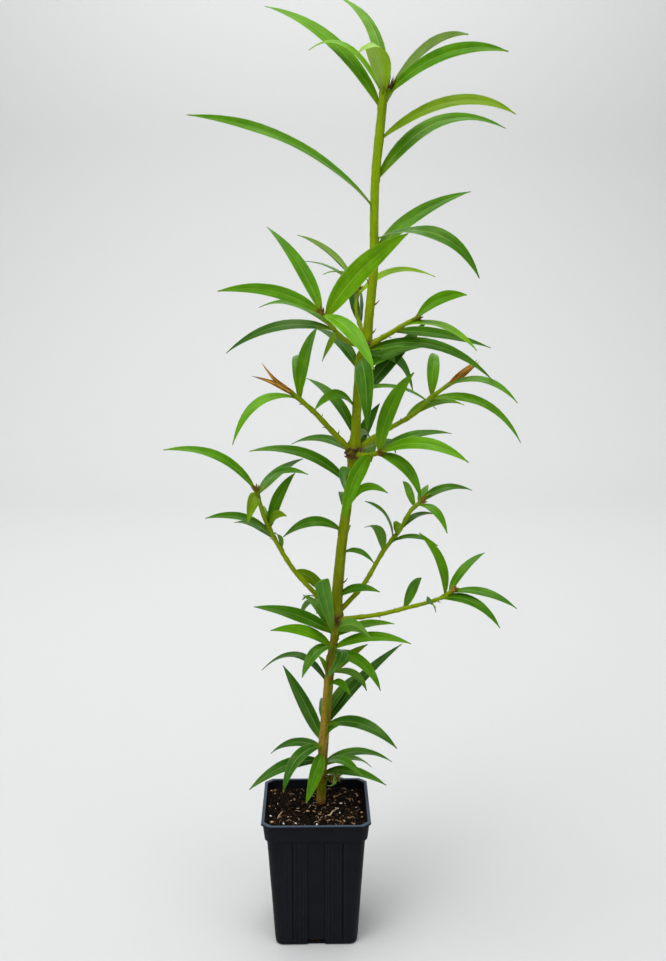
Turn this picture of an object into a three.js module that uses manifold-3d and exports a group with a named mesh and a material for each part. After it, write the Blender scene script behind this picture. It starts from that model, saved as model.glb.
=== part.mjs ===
// A young podocarpus in its square nursery pot, in millimetres, +Z up, +X right and +Y back.
// The origin is the middle of the pot's underside. The pot holds the soil, the soil carries one
// slim leaning trunk with three whorls of boughs, and strap leaves grow on the trunk and the boughs.
import * as THREE from 'three';
import { mergeVertices } from 'three/addons/utils/BufferGeometryUtils.js';
import Module from 'manifold-3d';

const wasm = await Module();
wasm.setup();

// Driving sizes
const CLEARANCE = 0.3;          // what neighbouring solids keep between them
const POT_HEIGHT = 127;
const LIP_HALF = 51;            // half of the pot's width over its lip
const LIP_HEIGHT = 2.5;
const LIP_WIDTH = 3;
const LIP_BEVEL = 0.3;
const LIP_CHAMFER = 7.4;
const BAND_HEIGHT = 14.5;       // the straight band under the lip
const BAND_HALF_TOP = 49.5;
const BAND_HALF_FOOT = 47.9;
const BODY_HALF_TOP = 46;
const BODY_HALF_FOOT = 38.9;
const LEDGE_DROP = 0.4;         // height of the ledge where the band steps in to the body
const BODY_CORNER = 8;
const FOOT_ROUNDING = 2.4;      // rounding of the pot's bottom edge
const WALL = 1.3;
const FLOOR = 1.8;
const DRAIN_WIDTH = 17;
const DRAIN_HEIGHT = 5;
const RIM_SOIL_ROOM = 8;        // from the rim down to the soil
const SOIL_LEVEL = POT_HEIGHT - RIM_SOIL_ROOM;
const SLEEVE_WALL = 0.8;        // the ring of leaf bases round the trunk
const TRUNK_SLIMMING = 0.4;     // the trunk gives this up to the sleeves of leaf bases
const LEAF_THICKNESS_SHARE = 1 / 75;
const LEAF_THINNING = 0.35;     // the share of its thickness that a leaf loses towards its tip
const LEAF_FOOT_HALF_WIDTH = 1;
const TWIG_THINNING = 0.15;     // the share of its radius that a leafy end loses towards its bud

// ---------- small tools ----------

// A closed geometry as a manifold solid.
function toSolid(geometry) {
  const bare = geometry.clone();
  bare.deleteAttribute('normal');
  bare.deleteAttribute('uv');
  const merged = mergeVertices(bare, 1e-4);
  return new wasm.Manifold(new wasm.Mesh({
    numProp: 3,
    vertProperties: new Float32Array(merged.attributes.position.array),
    triVerts: new Uint32Array(merged.index.array),
  }));
}

// A manifold solid as a geometry.
function toGeometry(solid) {
  const mesh = solid.getMesh();
  const geometry = new THREE.BufferGeometry();
  geometry.setAttribute('position', new THREE.BufferAttribute(mesh.vertProperties, 3));
  geometry.setIndex(new THREE.BufferAttribute(mesh.triVerts, 1));
  geometry.computeVertexNormals();
  return geometry;
}

function joined(solids) {
  return solids.reduce((sum, next) => sum.add(next));
}

// A closed skin over rings of points. Each ring has as many points as the next, and a fan of
// triangles closes the first and the last ring.
function skin(rings) {
  const count = rings[0].length;
  const positions = rings.flat().flatMap((p) => [p.x, p.y, p.z]);
  const index = [];
  for (let r = 0; r + 1 < rings.length; r += 1) {
    for (let i = 0; i < count; i += 1) {
      const a = r * count + i;
      const b = r * count + ((i + 1) % count);
      index.push(a, b, b + count, a, b + count, a + count);
    }
  }
  for (const [ring, flip] of [[0, true], [rings.length - 1, false]]) {
    const middle = positions.length / 3;
    const centre = rings[ring].reduce((sum, p) => sum.add(p), new THREE.Vector3()).divideScalar(count);
    positions.push(centre.x, centre.y, centre.z);
    for (let i = 0; i < count; i += 1) {
      const a = ring * count + i;
      const b = ring * count + ((i + 1) % count);
      index.push(middle, flip ? b : a, flip ? a : b);
    }
  }
  const geometry = new THREE.BufferGeometry();
  geometry.setAttribute('position', new THREE.Float32BufferAttribute(positions, 3));
  geometry.setIndex(index);
  return geometry;
}

// A smooth line through rows of numbers, read at t. Each row's own t is its knot.
function smoothAt(knots, rows, t) {
  const last = rows.length - 1;
  let i = 0;
  while (i < last - 1 && t > knots[i + 1]) i += 1;
  const span = knots[i + 1] - knots[i];
  const s = (t - knots[i]) / span;
  const slope = (k, c) => {
    const a = Math.max(k - 1, 0);
    const b = Math.min(k + 1, last);
    return (rows[b][c] - rows[a][c]) / (knots[b] - knots[a]) * span;
  };
  return rows[0].map((_, c) => {
    const p = rows[i][c];
    const q = rows[i + 1][c];
    const m = slope(i, c);
    const n = slope(i + 1, c);
    return p + m * s + (3 * (q - p) - 2 * m - n) * s * s + (2 * (p - q) + m + n) * s * s * s;
  });
}

// ---------- trunk ----------

// Height above the underside, then the axis to the right, to the back, and the radius.
// The stem thins through each year's growth and thickens again above each whorl.
const TRUNK = [
  [SOIL_LEVEL + CLEARANCE, 4.7, 15, 4.6],
  [150, 6, 13, 4.6],
  [184, 7.5, 11, 5],
  [239, 12, 8, 4.6],
  [274, 15.5, 6, 4.1],
  [300, 19.5, 5, 3.9],
  [311, 20.8, 5, 5.2],
  [331, 20.4, 4, 5.4],
  [367, 23.2, 3, 5.1],
  [397, 26.5, 2, 4.8],
  [455, 34, 0, 4.7],
  [468, 35.5, 0, 6.4],
  [484, 37, 0, 4.8],
  [530, 39, 0, 3.9],
  [553, 40, 0, 3.4],
  [565, 46, 0, 4.6],
  [590, 48.5, 0, 4.4],
  [634, 52.5, 0, 4.2],
  [675, 52.8, 0, 4],
  [708, 53.5, 0, 4],
  [746, 56.8, 0, 4.2],
  [778, 60, 0, 3.8],
  [786, 61.5, 0, 3.4],
];
const TRUNK_SIDES = 8;
const TRUNK_STEP = 20;
const trunkKnots = TRUNK.map((row) => row[0]);
const trunkRows = TRUNK.map((row) => row.slice(1));

function trunkAt(height) {
  const [x, y, radius] = smoothAt(trunkKnots, trunkRows, height);
  return { centre: new THREE.Vector3(x, y, height), radius: radius - TRUNK_SLIMMING };
}

// The heights of the trunk's rings: every knot, and even steps between the knots.
const trunkRings = trunkKnots.flatMap((knot, k) => {
  const next = trunkKnots[k + 1] ?? knot;
  const steps = Math.max(1, Math.ceil((next - knot) / TRUNK_STEP));
  return [...Array(steps).keys()].map((n) => knot + (next - knot) * n / steps);
});

// The trunk between two heights, made thicker by extra.
function trunkLength(from, to, extra) {
  const heights = [from, ...trunkRings.filter((height) => height > from && height < to), to];
  const rings = heights.map((height) => {
    const held = THREE.MathUtils.clamp(height, trunkKnots[0], trunkKnots.at(-1));
    const { centre, radius } = trunkAt(held);
    return [...Array(TRUNK_SIDES).keys()].map((k) => {
      const angle = 2 * Math.PI * k / TRUNK_SIDES;
      const out = radius + extra;
      return new THREE.Vector3(centre.x + out * Math.cos(angle), centre.y + out * Math.sin(angle), height);
    });
  });
  return toSolid(skin(rings));
}

// ---------- limbs ----------

const LIMB_SIDES = 6;
const LIMB_STEP = 16;
const HEADING_STEP = 0.01;

// The smooth path of a bough or twig through its route of points.
function limbPath(route) {
  const knots = [0];
  for (let i = 1; i < route.length; i += 1) {
    knots.push(knots[i - 1] + Math.hypot(...route[i].map((v, c) => v - route[i - 1][c])));
  }
  const length = knots.at(-1);
  const at = (share) => new THREE.Vector3(...smoothAt(knots, route, share * length));
  const heading = (share) => at(share + HEADING_STEP).sub(at(share - HEADING_STEP)).normalize();
  return { length, at, heading };
}

// A length of a bough or twig, thinning from one radius to another.
function limbLength(path, from, to, radiusFrom, radiusTo) {
  const steps = Math.max(1, Math.ceil((to - from) * path.length / LIMB_STEP));
  const rings = [...Array(steps + 1).keys()].map((k) => {
    const share = from + (to - from) * k / steps;
    const ahead = path.heading(share);
    const side = new THREE.Vector3(-ahead.y, ahead.x, 0).normalize();
    const over = ahead.clone().cross(side);
    const radius = THREE.MathUtils.lerp(radiusFrom, radiusTo, k / steps);
    return [...Array(LIMB_SIDES).keys()].map((n) => {
      const angle = 2 * Math.PI * n / LIMB_SIDES;
      return path.at(share)
        .addScaledVector(side, radius * Math.cos(angle))
        .addScaledVector(over, radius * Math.sin(angle));
    });
  });
  return toSolid(skin(rings));
}

// ---------- leaves ----------

// Stations along a leaf from its foot, as shares of its length. The last is the point.
const LEAF_STATIONS = [0, 0.08, 0.24, 0.44, 0.65, 0.84];

// The blade's half width as a share of its widest: a short stalk, near-parallel sides, a point.
function bladeShare(t) {
  return Math.sin(Math.PI * t ** 0.9) ** 0.75;
}

// One strap leaf, flat on its upper face and keeled below. Its tip is given from its foot: right,
// back and up. The arch lifts it as a share of its reach, most strongly at the bend, and the roll
// turns its upper face towards the front.
function leafSolid(foot, [right, back, up, width, arch, roll, bend = 0.5]) {
  const reach = new THREE.Vector3(right, back, up);
  const chord = reach.length();
  const along = reach.clone().normalize();
  const lift = new THREE.Vector3(0, 0, 1).addScaledVector(along, -along.z).normalize();
  const control = foot.clone().addScaledVector(reach, bend).addScaledVector(lift, 2 * arch * chord);
  const tip = foot.clone().add(reach);
  const rib = new THREE.QuadraticBezierCurve3(foot, control, tip);
  const thickness = rib.getLength() * LEAF_THICKNESS_SHARE;
  const turn = THREE.MathUtils.degToRad(roll) * (right < 0 ? -1 : 1);
  const rings = LEAF_STATIONS.map((t) => {
    const tangent = rib.getTangent(t);
    const face = lift.clone().addScaledVector(tangent, -lift.dot(tangent)).normalize();
    face.applyAxisAngle(tangent, turn);
    const across = tangent.clone().cross(face);
    const half = Math.max(width / 2 * bladeShare(t), LEAF_FOOT_HALF_WIDTH);
    const keel = thickness * (1 - LEAF_THINNING * t);
    const centre = rib.getPoint(t).addScaledVector(face, keel / 2);
    return [
      centre.clone().addScaledVector(across, half),
      centre.clone().addScaledVector(face, -keel),
      centre.clone().addScaledVector(across, -half),
    ];
  });
  rings.push(Array(3).fill(tip));
  return toSolid(mergeVertices(skin(rings), 1e-4));
}

// Leaves that fill the side away from the front, by a seeded rule: they stand to the left and the
// right of straight back in turn, each with a length and a rise of its own.
const BACK_LEAF = { turn: [4, 38], length: [46, 62], rise: [-0.55, -0.1], width: 11.5, arch: 0.14 };

function backLeaves({ count, seed, from, to }) {
  let state = seed;
  const between = ([low, high]) => {
    state = (state * 16807) % 2147483647;
    return THREE.MathUtils.lerp(low, high, state / 2147483647);
  };
  return [...Array(count).keys()].map((n) => {
    const turn = THREE.MathUtils.degToRad(between(BACK_LEAF.turn)) * (n % 2 ? -1 : 1);
    const length = between(BACK_LEAF.length);
    const up = length * between(BACK_LEAF.rise);
    const place = THREE.MathUtils.lerp(from, to, (n + 0.5) / count);
    return [place, length * Math.sin(turn), length * Math.cos(turn), up, BACK_LEAF.width, BACK_LEAF.arch, 0];
  });
}

// ---------- foliage on the trunk ----------

// Each tier is a span of the trunk with its leaves. A leaf's row is its height on the trunk, then
// its tip from its foot (right, back, up), its width, its arch and its roll in degrees.
const TIERS = {
  crown: { from: 700, to: 785.5, leaves: [
    [766, -103, 32, 93, 14, 0.1, 45],
    [776, -44, 74, 103, 14, 0.18, 170, 0.42],
    [778, -67, 55, 46, 13, 0.24, -30],
    [780, -23, -70, 21, 19, 0.3, 155],
    [765, 82, 48, 72, 14, 0.2, -50, 0.55],
    [776, 96, -72, 24, 14, 0.14, 70, 0.56],
    [741, 110, -52, 14, 14, 0.19, 55, 0.62],
    [706, 118, 23, 48, 15, 0.21, 50, 0.6],
  ] },
  neck: { from: 642, to: 690, leaves: [
    [684, -156, -73, 67, 15, 0.1, 60],
    [644, 90, 35, 57, 15, 0.08, 45],
    [657, 88, -41, -35, 14, 0.22, 45, 0.56],
  ] },
  upper: { from: 517, to: 557, leaves: [
    [555, 112, -21, -30, 14, 0.15, 45],
    [542, -38, 43, 35, 12, 0.12, 20],
    [552, 5, -54, -58, 17, 0.25, 35],
    [549, 74, 33, 13, 11, 0.12, 25],
    [527, 63, 25, 53, 12, 0.12, 40],
    [555, 45, 17, -43, 11, 0.25, 50],
    [523, 71, -10, -16, 11, 0.15, 10],
  ] },
  middle: { from: 477, to: 510, leaves: [
    [505, -39, -31, 3, 11, 0.3, 45],
    [480, -45, 46, 51, 12, 0.12, 15],
    [479, -52, 38, -2, 11, 0.14, 25],
    [482, 21, 43, 29, 10, 0.15, 75],
  ] },
  waist: { from: 326, to: 458, leaves: [
    [436, -92, -1, 32, 13, 0.15, 40],
    [426, 4, -27, 27, 9, 0.25, 30],
    [412, 37, -24, 23, 11, 0.2, 50],
    [392, -55, -25, 1, 12, 0.24, 35],
    [371, 30, -20, -4, 8, 0.2, 25],
    [329, 39, -22, 11, 10, 0.14, 40],
  ], back: { count: 2, seed: 48, from: 380, to: 440 } },
  lower: { from: 236, to: 302, leaves: [
    [296, 32, -44, 5, 13, 0.18, -90],
    [290, 57, -2, 13, 11, 0.1, 25],
    [278, 73, -23, 12, 13, 0.12, 30],
    [275, 45, -19, -32, 13, 0.18, 30],
    [254, 36, 15, -24, 10, 0.2, -55],
    [278, -8, -42, -14, 10, 0.15, 55],
    [289, -14, -37, 64, 15, -0.05, 140],
    [289, -30, 33, 33, 11, 0.14, 25],
    [293, -77, 3, 26, 15, 0.07, 40],
    [279, -58, -24, 25, 13, 0.12, 45],
    [281, -29, -37, -18, 13, 0.2, 15],
    [242, -65, 20, 7, 12, 0.33, 15],
    [242, -10, -15, 34, 8, 0.1, 80],
    [242, 20, -28, 0, 9, 0.2, 20],
  ] },
  foot: { from: 144, to: 213, leaves: [
    [199, 77, 40, 69, 13, 0.06, 20],
    [207, 36, 38, 33, 11, 0.1, 5],
    [182, -40, 47, 62, 14, 0.03, 60],
    [203, -4, 43, 8, 10, 0.1, 50],
    [200, 67, -41, -7, 14, 0.17, 30],
    [185, 16, -19, 23, 9, 0.12, 60],
    [176, -52, 24, -16, 11, 0.15, 25],
    [179, -38, -37, -31, 13, 0.25, 20],
    [163, -69, -44, -9, 13, 0.12, 30],
    [172, -16, -51, -28, 14, 0.04, 45],
    [159, 69, 15, -5, 12, 0.17, 20],
    [158, 37, -36, 5, 12, 0.2, 20],
    [157, 50, 32, -16, 10, 0.15, 15],
    [150, 61, -29, 0, 12, 0.11, 20],
    [148, 14, -26, 2, 10, 0.25, -85],
  ] },
};

// ---------- boughs and the foliage at their ends ----------

// Each bough follows its route from the trunk's axis and is bare up to a share of its length.
// From there on its leafy end is a mass of its own. A leaf's row is its share along the bough,
// then its tip from its foot, its width, its arch and its roll.
const BOUGHS = {
  upper_left: {
    route: [[44, 0, 563], [28, -18, 569], [18, -32, 578], [5, -50, 595]],
    bare: 0.42,
    radius: [2.7, 2.1],
    leaves: [
      [0.88, 66, -54, 68, 18, 0.1, 95],
      [0.97, -48, 44, 74, 14, 0.07, 20],
      [0.95, -86, -37, 19, 13, 0.1, 60],
      [0.64, -68, 51, 18, 12, 0.15, 30],
      [0.63, -97, 27, -22, 12, 0.13, 45],
      [0.94, 40, -72, -42, 15, 0.1, 15],
      [0.55, -14, -35, -22, 8, 0.1, 85],
    ],
  },
  upper_right: {
    route: [[46, 0, 562], [67, -6, 575], [80, -10, 583], [91, -14, 589]],
    bare: 0.5,
    radius: [2.7, 2.1],
    leaves: [
      [0.95, 38, -55, 21, 13, 0.1, 75],
      [0.7, 61, -43, -20, 12, 0.19, 20],
      [0.68, 86, 23, -23, 12, 0.12, 45],
    ],
  },
  upper_back: {
    route: [[46, 0, 569], [39, 14, 588], [38, 20, 602], [40, 26, 615]],
    bare: 0.28,
    radius: [2.2, 1.8],
    leaves: [
      [0.36, -7, 53, 24, 10, 0.1, 70],
      [0.97, -56, 36, 50, 10, 0.1, -50],
      [0.93, -49, 39, 28, 10, 0.1, 0],
      [0.9, -32, -34, 16, 9, 0.2, -5],
      [0.82, 71, -8, 18, 9, 0.2, 35],
    ],
  },
  middle_left: {
    route: [[35, 0, 466], [14, -8, 489], [0, -14, 505], [-22, -24, 525]],
    bare: 0.78,
    radius: [2.8, 2.2],
    leaves: [
      [0.88, 17, -49, 64, 13, 0.1, 120],
      [0.85, -6, 60, 35, 11, 0.2, 20],
      [0.87, -56, -46, -35, 12, 0.23, 20],
    ],
    driedTips: [[-34, -4, 14], [-24, -2, 25]],
  },
  middle_right: {
    route: [[35, 0, 468], [63, 8, 485], [91, 16, 500], [108, 22, 515], [127, 28, 528]],
    bare: 0.42,
    radius: [2.8, 2.2],
    driedTips: [[21, 4, 16]],
    leaves: [
      [0.79, 10, 60, 36, 12, 0.2, 20],
      [0.94, 61, -35, -12, 11, 0.19, 25],
      [0.77, 82, -21, -39, 12, 0.19, 35],
      [0.5, 59, 29, 10, 11, 0.15, 35],
    ],
  },
  middle_front: {
    route: [[36, 0, 465], [46, -20, 467], [57, -38, 472]],
    bare: 0.5,
    radius: [2.6, 2.2],
    leaves: [
      [0.95, 27, -39, 74, 15, 0.1, 110],
      [0.97, 74, -38, -3, 13, 0.15, 50],
      [0.96, 68, 31, 13, 12, 0.1, 25],
      [0.9, 37, -21, -38, 12, 0.18, 35],
      [0.7, -26, -41, -52, 15, 0.15, 65],
    ],
  },
  middle_back: {
    route: [[36, 0, 468], [46, 18, 470], [60, 40, 472]],
    bare: 0.5,
    radius: [2.4, 2],
    leaves: [],
    back: { count: 6, seed: 8, from: 0.66, to: 1 },
  },
  lower_left: {
    route: [[20, 3, 312], [-1, -8, 337], [-20, -14, 361], [-32, -18, 382], [-44, -23, 407], [-53, -30, 439]],
    bare: 0.28,
    radius: [2.6, 2.2],
    leaves: [
      [0.98, -80, -17, 37, 12, 0.14, 40],
      [0.97, 46, -32, 22, 10, 0.18, 35],
      [0.96, 41, 42, 26, 11, 0.08, 20],
      [0.95, -7, -37, -17, 12, 0.18, 50],
      [0.73, 24, -22, 55, 12, 0.08, 95],
      [0.78, -3, 27, 9, 8, 0.15, 145],
      [0.74, 17, -22, 15, 9, 0.2, 75],
      [0.7, -57, -30, 20, 11, 0.12, 35],
      [0.65, -40, 34, 9, 10, 0.12, 20],
      [0.58, -6, -17, 18, 8, 0.25, 25],
      [0.42, 32, 24, -36, 11, 0.1, 80],
    ],
  },
  lower_right: {
    route: [[21, 4, 314], [45, 8, 340], [64, 14, 371], [80, 18, 391], [89, 20, 407], [101, 22, 418]],
    bare: 0.48,
    radius: [2.4, 2.1],
    leaves: [
      [0.98, 52, 21, 7, 10, 0.15, 30],
      [0.95, 25, -31, -21, 10, 0.2, 15],
      [0.97, 11, 30, 12, 9, 0.1, 170],
      [0.93, -9, 35, 18, 10, 0.1, 70],
      [0.66, -28, -19, 39, 9, 0.15, 45],
      [0.54, -19, -26, 29, 10, 0.25, -25],
      [0.69, 3, -24, 15, 11, 0.15, 120],
      [0.71, 41, 21, 12, 9, 0.18, 10],
      [0.61, 43, -28, 4, 9, 0.15, 15],
    ],
  },
  lowest_right: {
    route: [[21, 3, 308], [56, -10, 316], [79, -18, 324], [112, -30, 337], [125, -35, 347]],
    bare: 0.48,
    radius: [2.3, 1.9],
    leaves: [
      [0.91, -25, -7, 60, 11, 0.12, 70],
      [0.95, 37, 34, 29, 11, 0.1, 5],
      [0.96, 56, -27, -8, 10, 0.12, 25],
      [0.86, 50, -33, -18, 11, 0.18, 30],
      [0.56, 20, 41, 18, 11, 0.1, 60],
      [0.75, 3, -27, 1, 9, 0.2, -90],
    ],
  },
  lower_back: {
    route: [[20, 5, 311], [15, 26, 313], [9, 47, 314]],
    bare: 0.45,
    radius: [2.3, 1.9],
    leaves: [],
    back: { count: 6, seed: 4, from: 0.6, to: 1 },
  },
};
const BUD_RADIUS = 2.9;
const BUD_LENGTH = 9;
const BUD_SIDES = 8;
const BUD_RINGS = 6;
const DRIED_RADIUS = 1.4;

function bareBough({ route, bare, radius }, trunkRoom) {
  return limbLength(limbPath(route), 0, bare, radius[0], radius[1]).subtract(trunkRoom);
}

// A dried twig past the end of a bough, thinning to a point.
function driedTip(foot, reach) {
  const tip = foot.clone().add(new THREE.Vector3(...reach));
  return limbLength(limbPath([foot.toArray(), tip.toArray()]), 0, 1, DRIED_RADIUS, DRIED_RADIUS / 4);
}

function leafyEnd({ route, bare, radius, leaves, back, driedTips = [] }) {
  const path = limbPath(route);
  const start = bare + CLEARANCE / path.length;
  const stem = limbLength(path, start, 1, radius[1], radius[1] * (1 - TWIG_THINNING));
  const bud = new THREE.SphereGeometry(1, BUD_SIDES, BUD_RINGS);
  bud.scale(BUD_RADIUS, BUD_RADIUS, BUD_LENGTH / 2);
  const turn = new THREE.Quaternion().setFromUnitVectors(new THREE.Vector3(0, 0, 1), path.heading(1));
  bud.applyQuaternion(turn);
  const end = path.at(1);
  bud.translate(end.x, end.y, end.z);
  const rows = back ? [...leaves, ...backLeaves(back)] : leaves;
  const blades = rows.map(([share, ...row]) => leafSolid(path.at(share), row));
  const dried = driedTips.map((reach) => driedTip(end, reach));
  return joined([stem, toSolid(bud), ...blades, ...dried]);
}

function trunkTier({ from, to, leaves, back }, trunkRoom) {
  const sleeve = trunkLength(from, to, CLEARANCE + SLEEVE_WALL);
  const rows = back ? [...leaves, ...backLeaves(back)] : leaves;
  const blades = rows.map(([height, ...row]) => leafSolid(trunkAt(height).centre, row));
  return joined([sleeve, ...blades]).subtract(trunkRoom);
}

// ---------- pot and soil ----------

const CORNER_POINTS = 3;

// A square ring with round corners, or straight chamfers, at one height.
function squareRing(half, corner, height, chamfered = false) {
  const points = [];
  for (let side = 0; side < 4; side += 1) {
    for (let k = 0; k < CORNER_POINTS; k += 1) {
      const share = k / (CORNER_POINTS - 1);
      const angle = Math.PI / 2 * share;
      const x = chamfered ? 1 - share : Math.cos(angle);
      const y = chamfered ? share : Math.sin(angle);
      const point = new THREE.Vector3(half - corner + corner * x, half - corner + corner * y, height);
      points.push(point.applyAxisAngle(new THREE.Vector3(0, 0, 1), side * Math.PI / 2));
    }
  }
  return points;
}

const BAND_TOP = POT_HEIGHT - LIP_HEIGHT;
const BAND_FOOT = BAND_TOP - BAND_HEIGHT;
const ROUNDING_SHARE = 0.3;     // how far up the bottom edge its middle ring stands

function bodyHalf(height) {
  const share = (height - FOOT_ROUNDING) / (BAND_FOOT - FOOT_ROUNDING);
  return THREE.MathUtils.lerp(BODY_HALF_FOOT, BODY_HALF_TOP, share);
}

function potSolid() {
  const rings = [
    squareRing(BODY_HALF_FOOT - FOOT_ROUNDING, BODY_CORNER - FOOT_ROUNDING, 0),
    squareRing(BODY_HALF_FOOT - ROUNDING_SHARE * FOOT_ROUNDING, BODY_CORNER, ROUNDING_SHARE * FOOT_ROUNDING),
    squareRing(BODY_HALF_FOOT, BODY_CORNER, FOOT_ROUNDING),
    squareRing(BODY_HALF_TOP, BODY_CORNER, BAND_FOOT - LEDGE_DROP),
    squareRing(BAND_HALF_FOOT, BODY_CORNER, BAND_FOOT),
    squareRing(BAND_HALF_TOP, BODY_CORNER, BAND_TOP - LIP_BEVEL),
    squareRing(LIP_HALF, LIP_CHAMFER, BAND_TOP, true),
    squareRing(LIP_HALF, LIP_CHAMFER, POT_HEIGHT - LIP_BEVEL, true),
    squareRing(LIP_HALF - LIP_BEVEL, LIP_CHAMFER, POT_HEIGHT, true),
    squareRing(LIP_HALF - LIP_WIDTH, LIP_CHAMFER, POT_HEIGHT, true),
    squareRing(BAND_HALF_FOOT - WALL, BODY_CORNER, BAND_FOOT),
    squareRing(BODY_HALF_TOP - WALL, BODY_CORNER, BAND_FOOT - LEDGE_DROP - WALL / 2),
    squareRing(bodyHalf(2 * FLOOR) - WALL, BODY_CORNER - WALL, 2 * FLOOR),
    squareRing(bodyHalf(FLOOR) - 2 * WALL, BODY_CORNER - 2 * WALL, FLOOR),
  ];
  const shell = toSolid(skin(rings));
  const drains = [0, 1, 2, 3].map((side) => {
    const cutter = new THREE.BoxGeometry(DRAIN_WIDTH, 4 * WALL, 2 * DRAIN_HEIGHT);
    cutter.translate(0, -BODY_HALF_FOOT, 0);
    cutter.rotateZ(side * Math.PI / 2);
    return toSolid(cutter);
  });
  return drains.reduce((pot, drain) => pot.subtract(drain), shell);
}

// The soil fills the pot. Its top is lumpy, and level where the trunk stands.
const SOIL_RINGS = [0.94, 0.8, 0.62, 0.44, 0.26];
const SOIL_EDGE_DROP = 2;
const SOIL_LUMP = 0.9;
const SOIL_SINK = 0.6;
const SOIL_WAVES = { swell: 0.2, ripple: 0.4 };
const SOIL_LEVEL_NEAR = 8;      // level within this distance of the trunk
const SOIL_LUMPY_FROM = 25;     // and fully lumpy from here on

function soilSolid() {
  const keep = WALL + CLEARANCE;
  const rings = [
    squareRing(bodyHalf(FLOOR) - 2 * WALL - CLEARANCE, BODY_CORNER - 2 * WALL, FLOOR + CLEARANCE),
    squareRing(bodyHalf(2 * FLOOR) - keep, BODY_CORNER - keep, 2 * FLOOR),
    squareRing(BODY_HALF_TOP - keep, BODY_CORNER, BAND_FOOT - LEDGE_DROP - WALL),
    squareRing(BODY_HALF_TOP - keep, BODY_CORNER, SOIL_LEVEL - SOIL_EDGE_DROP),
  ];
  const trunkFoot = trunkAt(TRUNK[0][0]).centre;
  for (const share of SOIL_RINGS) {
    rings.push(squareRing((BODY_HALF_TOP - keep) * share, BODY_CORNER * share, SOIL_LEVEL).map((point) => {
      const swell = Math.sin(SOIL_WAVES.swell * point.x + 1) * Math.cos(SOIL_WAVES.swell * point.y);
      const ripple = Math.sin(SOIL_WAVES.ripple * (point.x - point.y));
      const away = THREE.MathUtils.smoothstep(point.distanceTo(trunkFoot), SOIL_LEVEL_NEAR, SOIL_LUMPY_FROM);
      point.z += (SOIL_LUMP * (swell + ripple) - SOIL_SINK) * away;
      return point;
    }));
  }
  return toSolid(skin(rings));
}

// ---------- finishes ----------

const finish = (color, roughness) => new THREE.MeshStandardMaterial({ color, roughness, metalness: 0 });
const potPlastic = finish(0x1d2023, 0.45);
const pottingSoil = finish(0x2c211a, 0.95);
const greenBark = finish(0x7c8226, 0.6);
const boughBark = finish(0x7f8f2c, 0.6);
const leafGreens = [finish(0x4f8f1c, 0.4), finish(0x3f7d18, 0.4), finish(0x5f9f22, 0.4)];

// ---------- assembly ----------

const podocarpus = new THREE.Group();
const container = new THREE.Group();
const stemFoliage = new THREE.Group();
podocarpus.name = 'podocarpus';
container.name = 'container';
stemFoliage.name = 'stem_foliage';
podocarpus.add(container, stemFoliage);

function place(group, name, solid, material) {
  const mesh = new THREE.Mesh(toGeometry(solid), material);
  mesh.name = name;
  group.add(mesh);
}

const trunkFrom = TRUNK[0][0];
const trunkTo = TRUNK.at(-1)[0];
const ROOM_ENDS = 2;            // how far the room kept for the trunk runs past its ends
const trunkRoom = trunkLength(trunkFrom - ROOM_ENDS, trunkTo + ROOM_ENDS, CLEARANCE);

place(container, 'pot', potSolid(), potPlastic);
place(container, 'soil', soilSolid(), pottingSoil);
place(podocarpus, 'trunk', trunkLength(trunkFrom, trunkTo, 0), greenBark);
Object.entries(TIERS).forEach(([name, tier], n) => {
  place(stemFoliage, `foliage_trunk_${name}`, trunkTier(tier, trunkRoom), leafGreens[n % leafGreens.length]);
});
Object.entries(BOUGHS).forEach(([name, bough], n) => {
  const whole = new THREE.Group();
  whole.name = `${name}_group`;
  podocarpus.add(whole);
  place(whole, `bough_${name}`, bareBough(bough, trunkRoom), boughBark);
  place(whole, `foliage_${name}`, leafyEnd(bough), leafGreens[n % leafGreens.length]);
});

export default podocarpus;
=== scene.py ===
import math
import random

import bpy
import numpy as np
from mathutils import Matrix, Vector, noise


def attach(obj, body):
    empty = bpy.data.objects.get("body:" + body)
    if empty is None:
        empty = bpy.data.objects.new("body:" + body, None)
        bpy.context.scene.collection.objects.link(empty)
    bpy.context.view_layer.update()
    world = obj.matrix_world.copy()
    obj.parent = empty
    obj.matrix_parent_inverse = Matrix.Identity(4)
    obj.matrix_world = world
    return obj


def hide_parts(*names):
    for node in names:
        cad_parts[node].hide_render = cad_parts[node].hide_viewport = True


# A young podocarpus in a square nursery pot, in metres, +Z up, +X right and +Y back. The sections
# follow the plant as it is put together: the studio, the pot and its ribs, the soil and what lies on
# it, the trunk, the boughs, their buds and dried tips, the leaves, a withered shoot and the leaf
# cushions. Sizes are written in millimetres and turned to metres where they are used.
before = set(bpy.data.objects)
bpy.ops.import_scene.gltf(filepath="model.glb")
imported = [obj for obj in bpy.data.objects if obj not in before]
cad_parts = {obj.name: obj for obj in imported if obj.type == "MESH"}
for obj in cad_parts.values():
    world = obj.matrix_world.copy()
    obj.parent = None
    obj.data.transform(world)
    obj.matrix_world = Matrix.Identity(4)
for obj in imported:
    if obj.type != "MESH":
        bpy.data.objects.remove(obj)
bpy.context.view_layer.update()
MM = 0.001


# ---------- studio ----------
# A plain pale sheet of paper runs over the floor and curves up behind the plant.
# Large soft lights stand above it and to both sides, as in the open shade of a house.
def paint(red, green, blue):
    """A colour read from a paint chart, 0 to 255, as the light that it gives back."""
    shares = [channel / 255 for channel in (red, green, blue)]
    return tuple(s / 12.92 if s <= 0.04045 else ((s + 0.055) / 1.055) ** 2.4 for s in shares) + (1.0,)


def fill_in(node, inputs):
    """Sets inputs of a node that nothing is joined to."""
    for entry, value in inputs.items():
        node.inputs[entry].default_value = value


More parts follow.
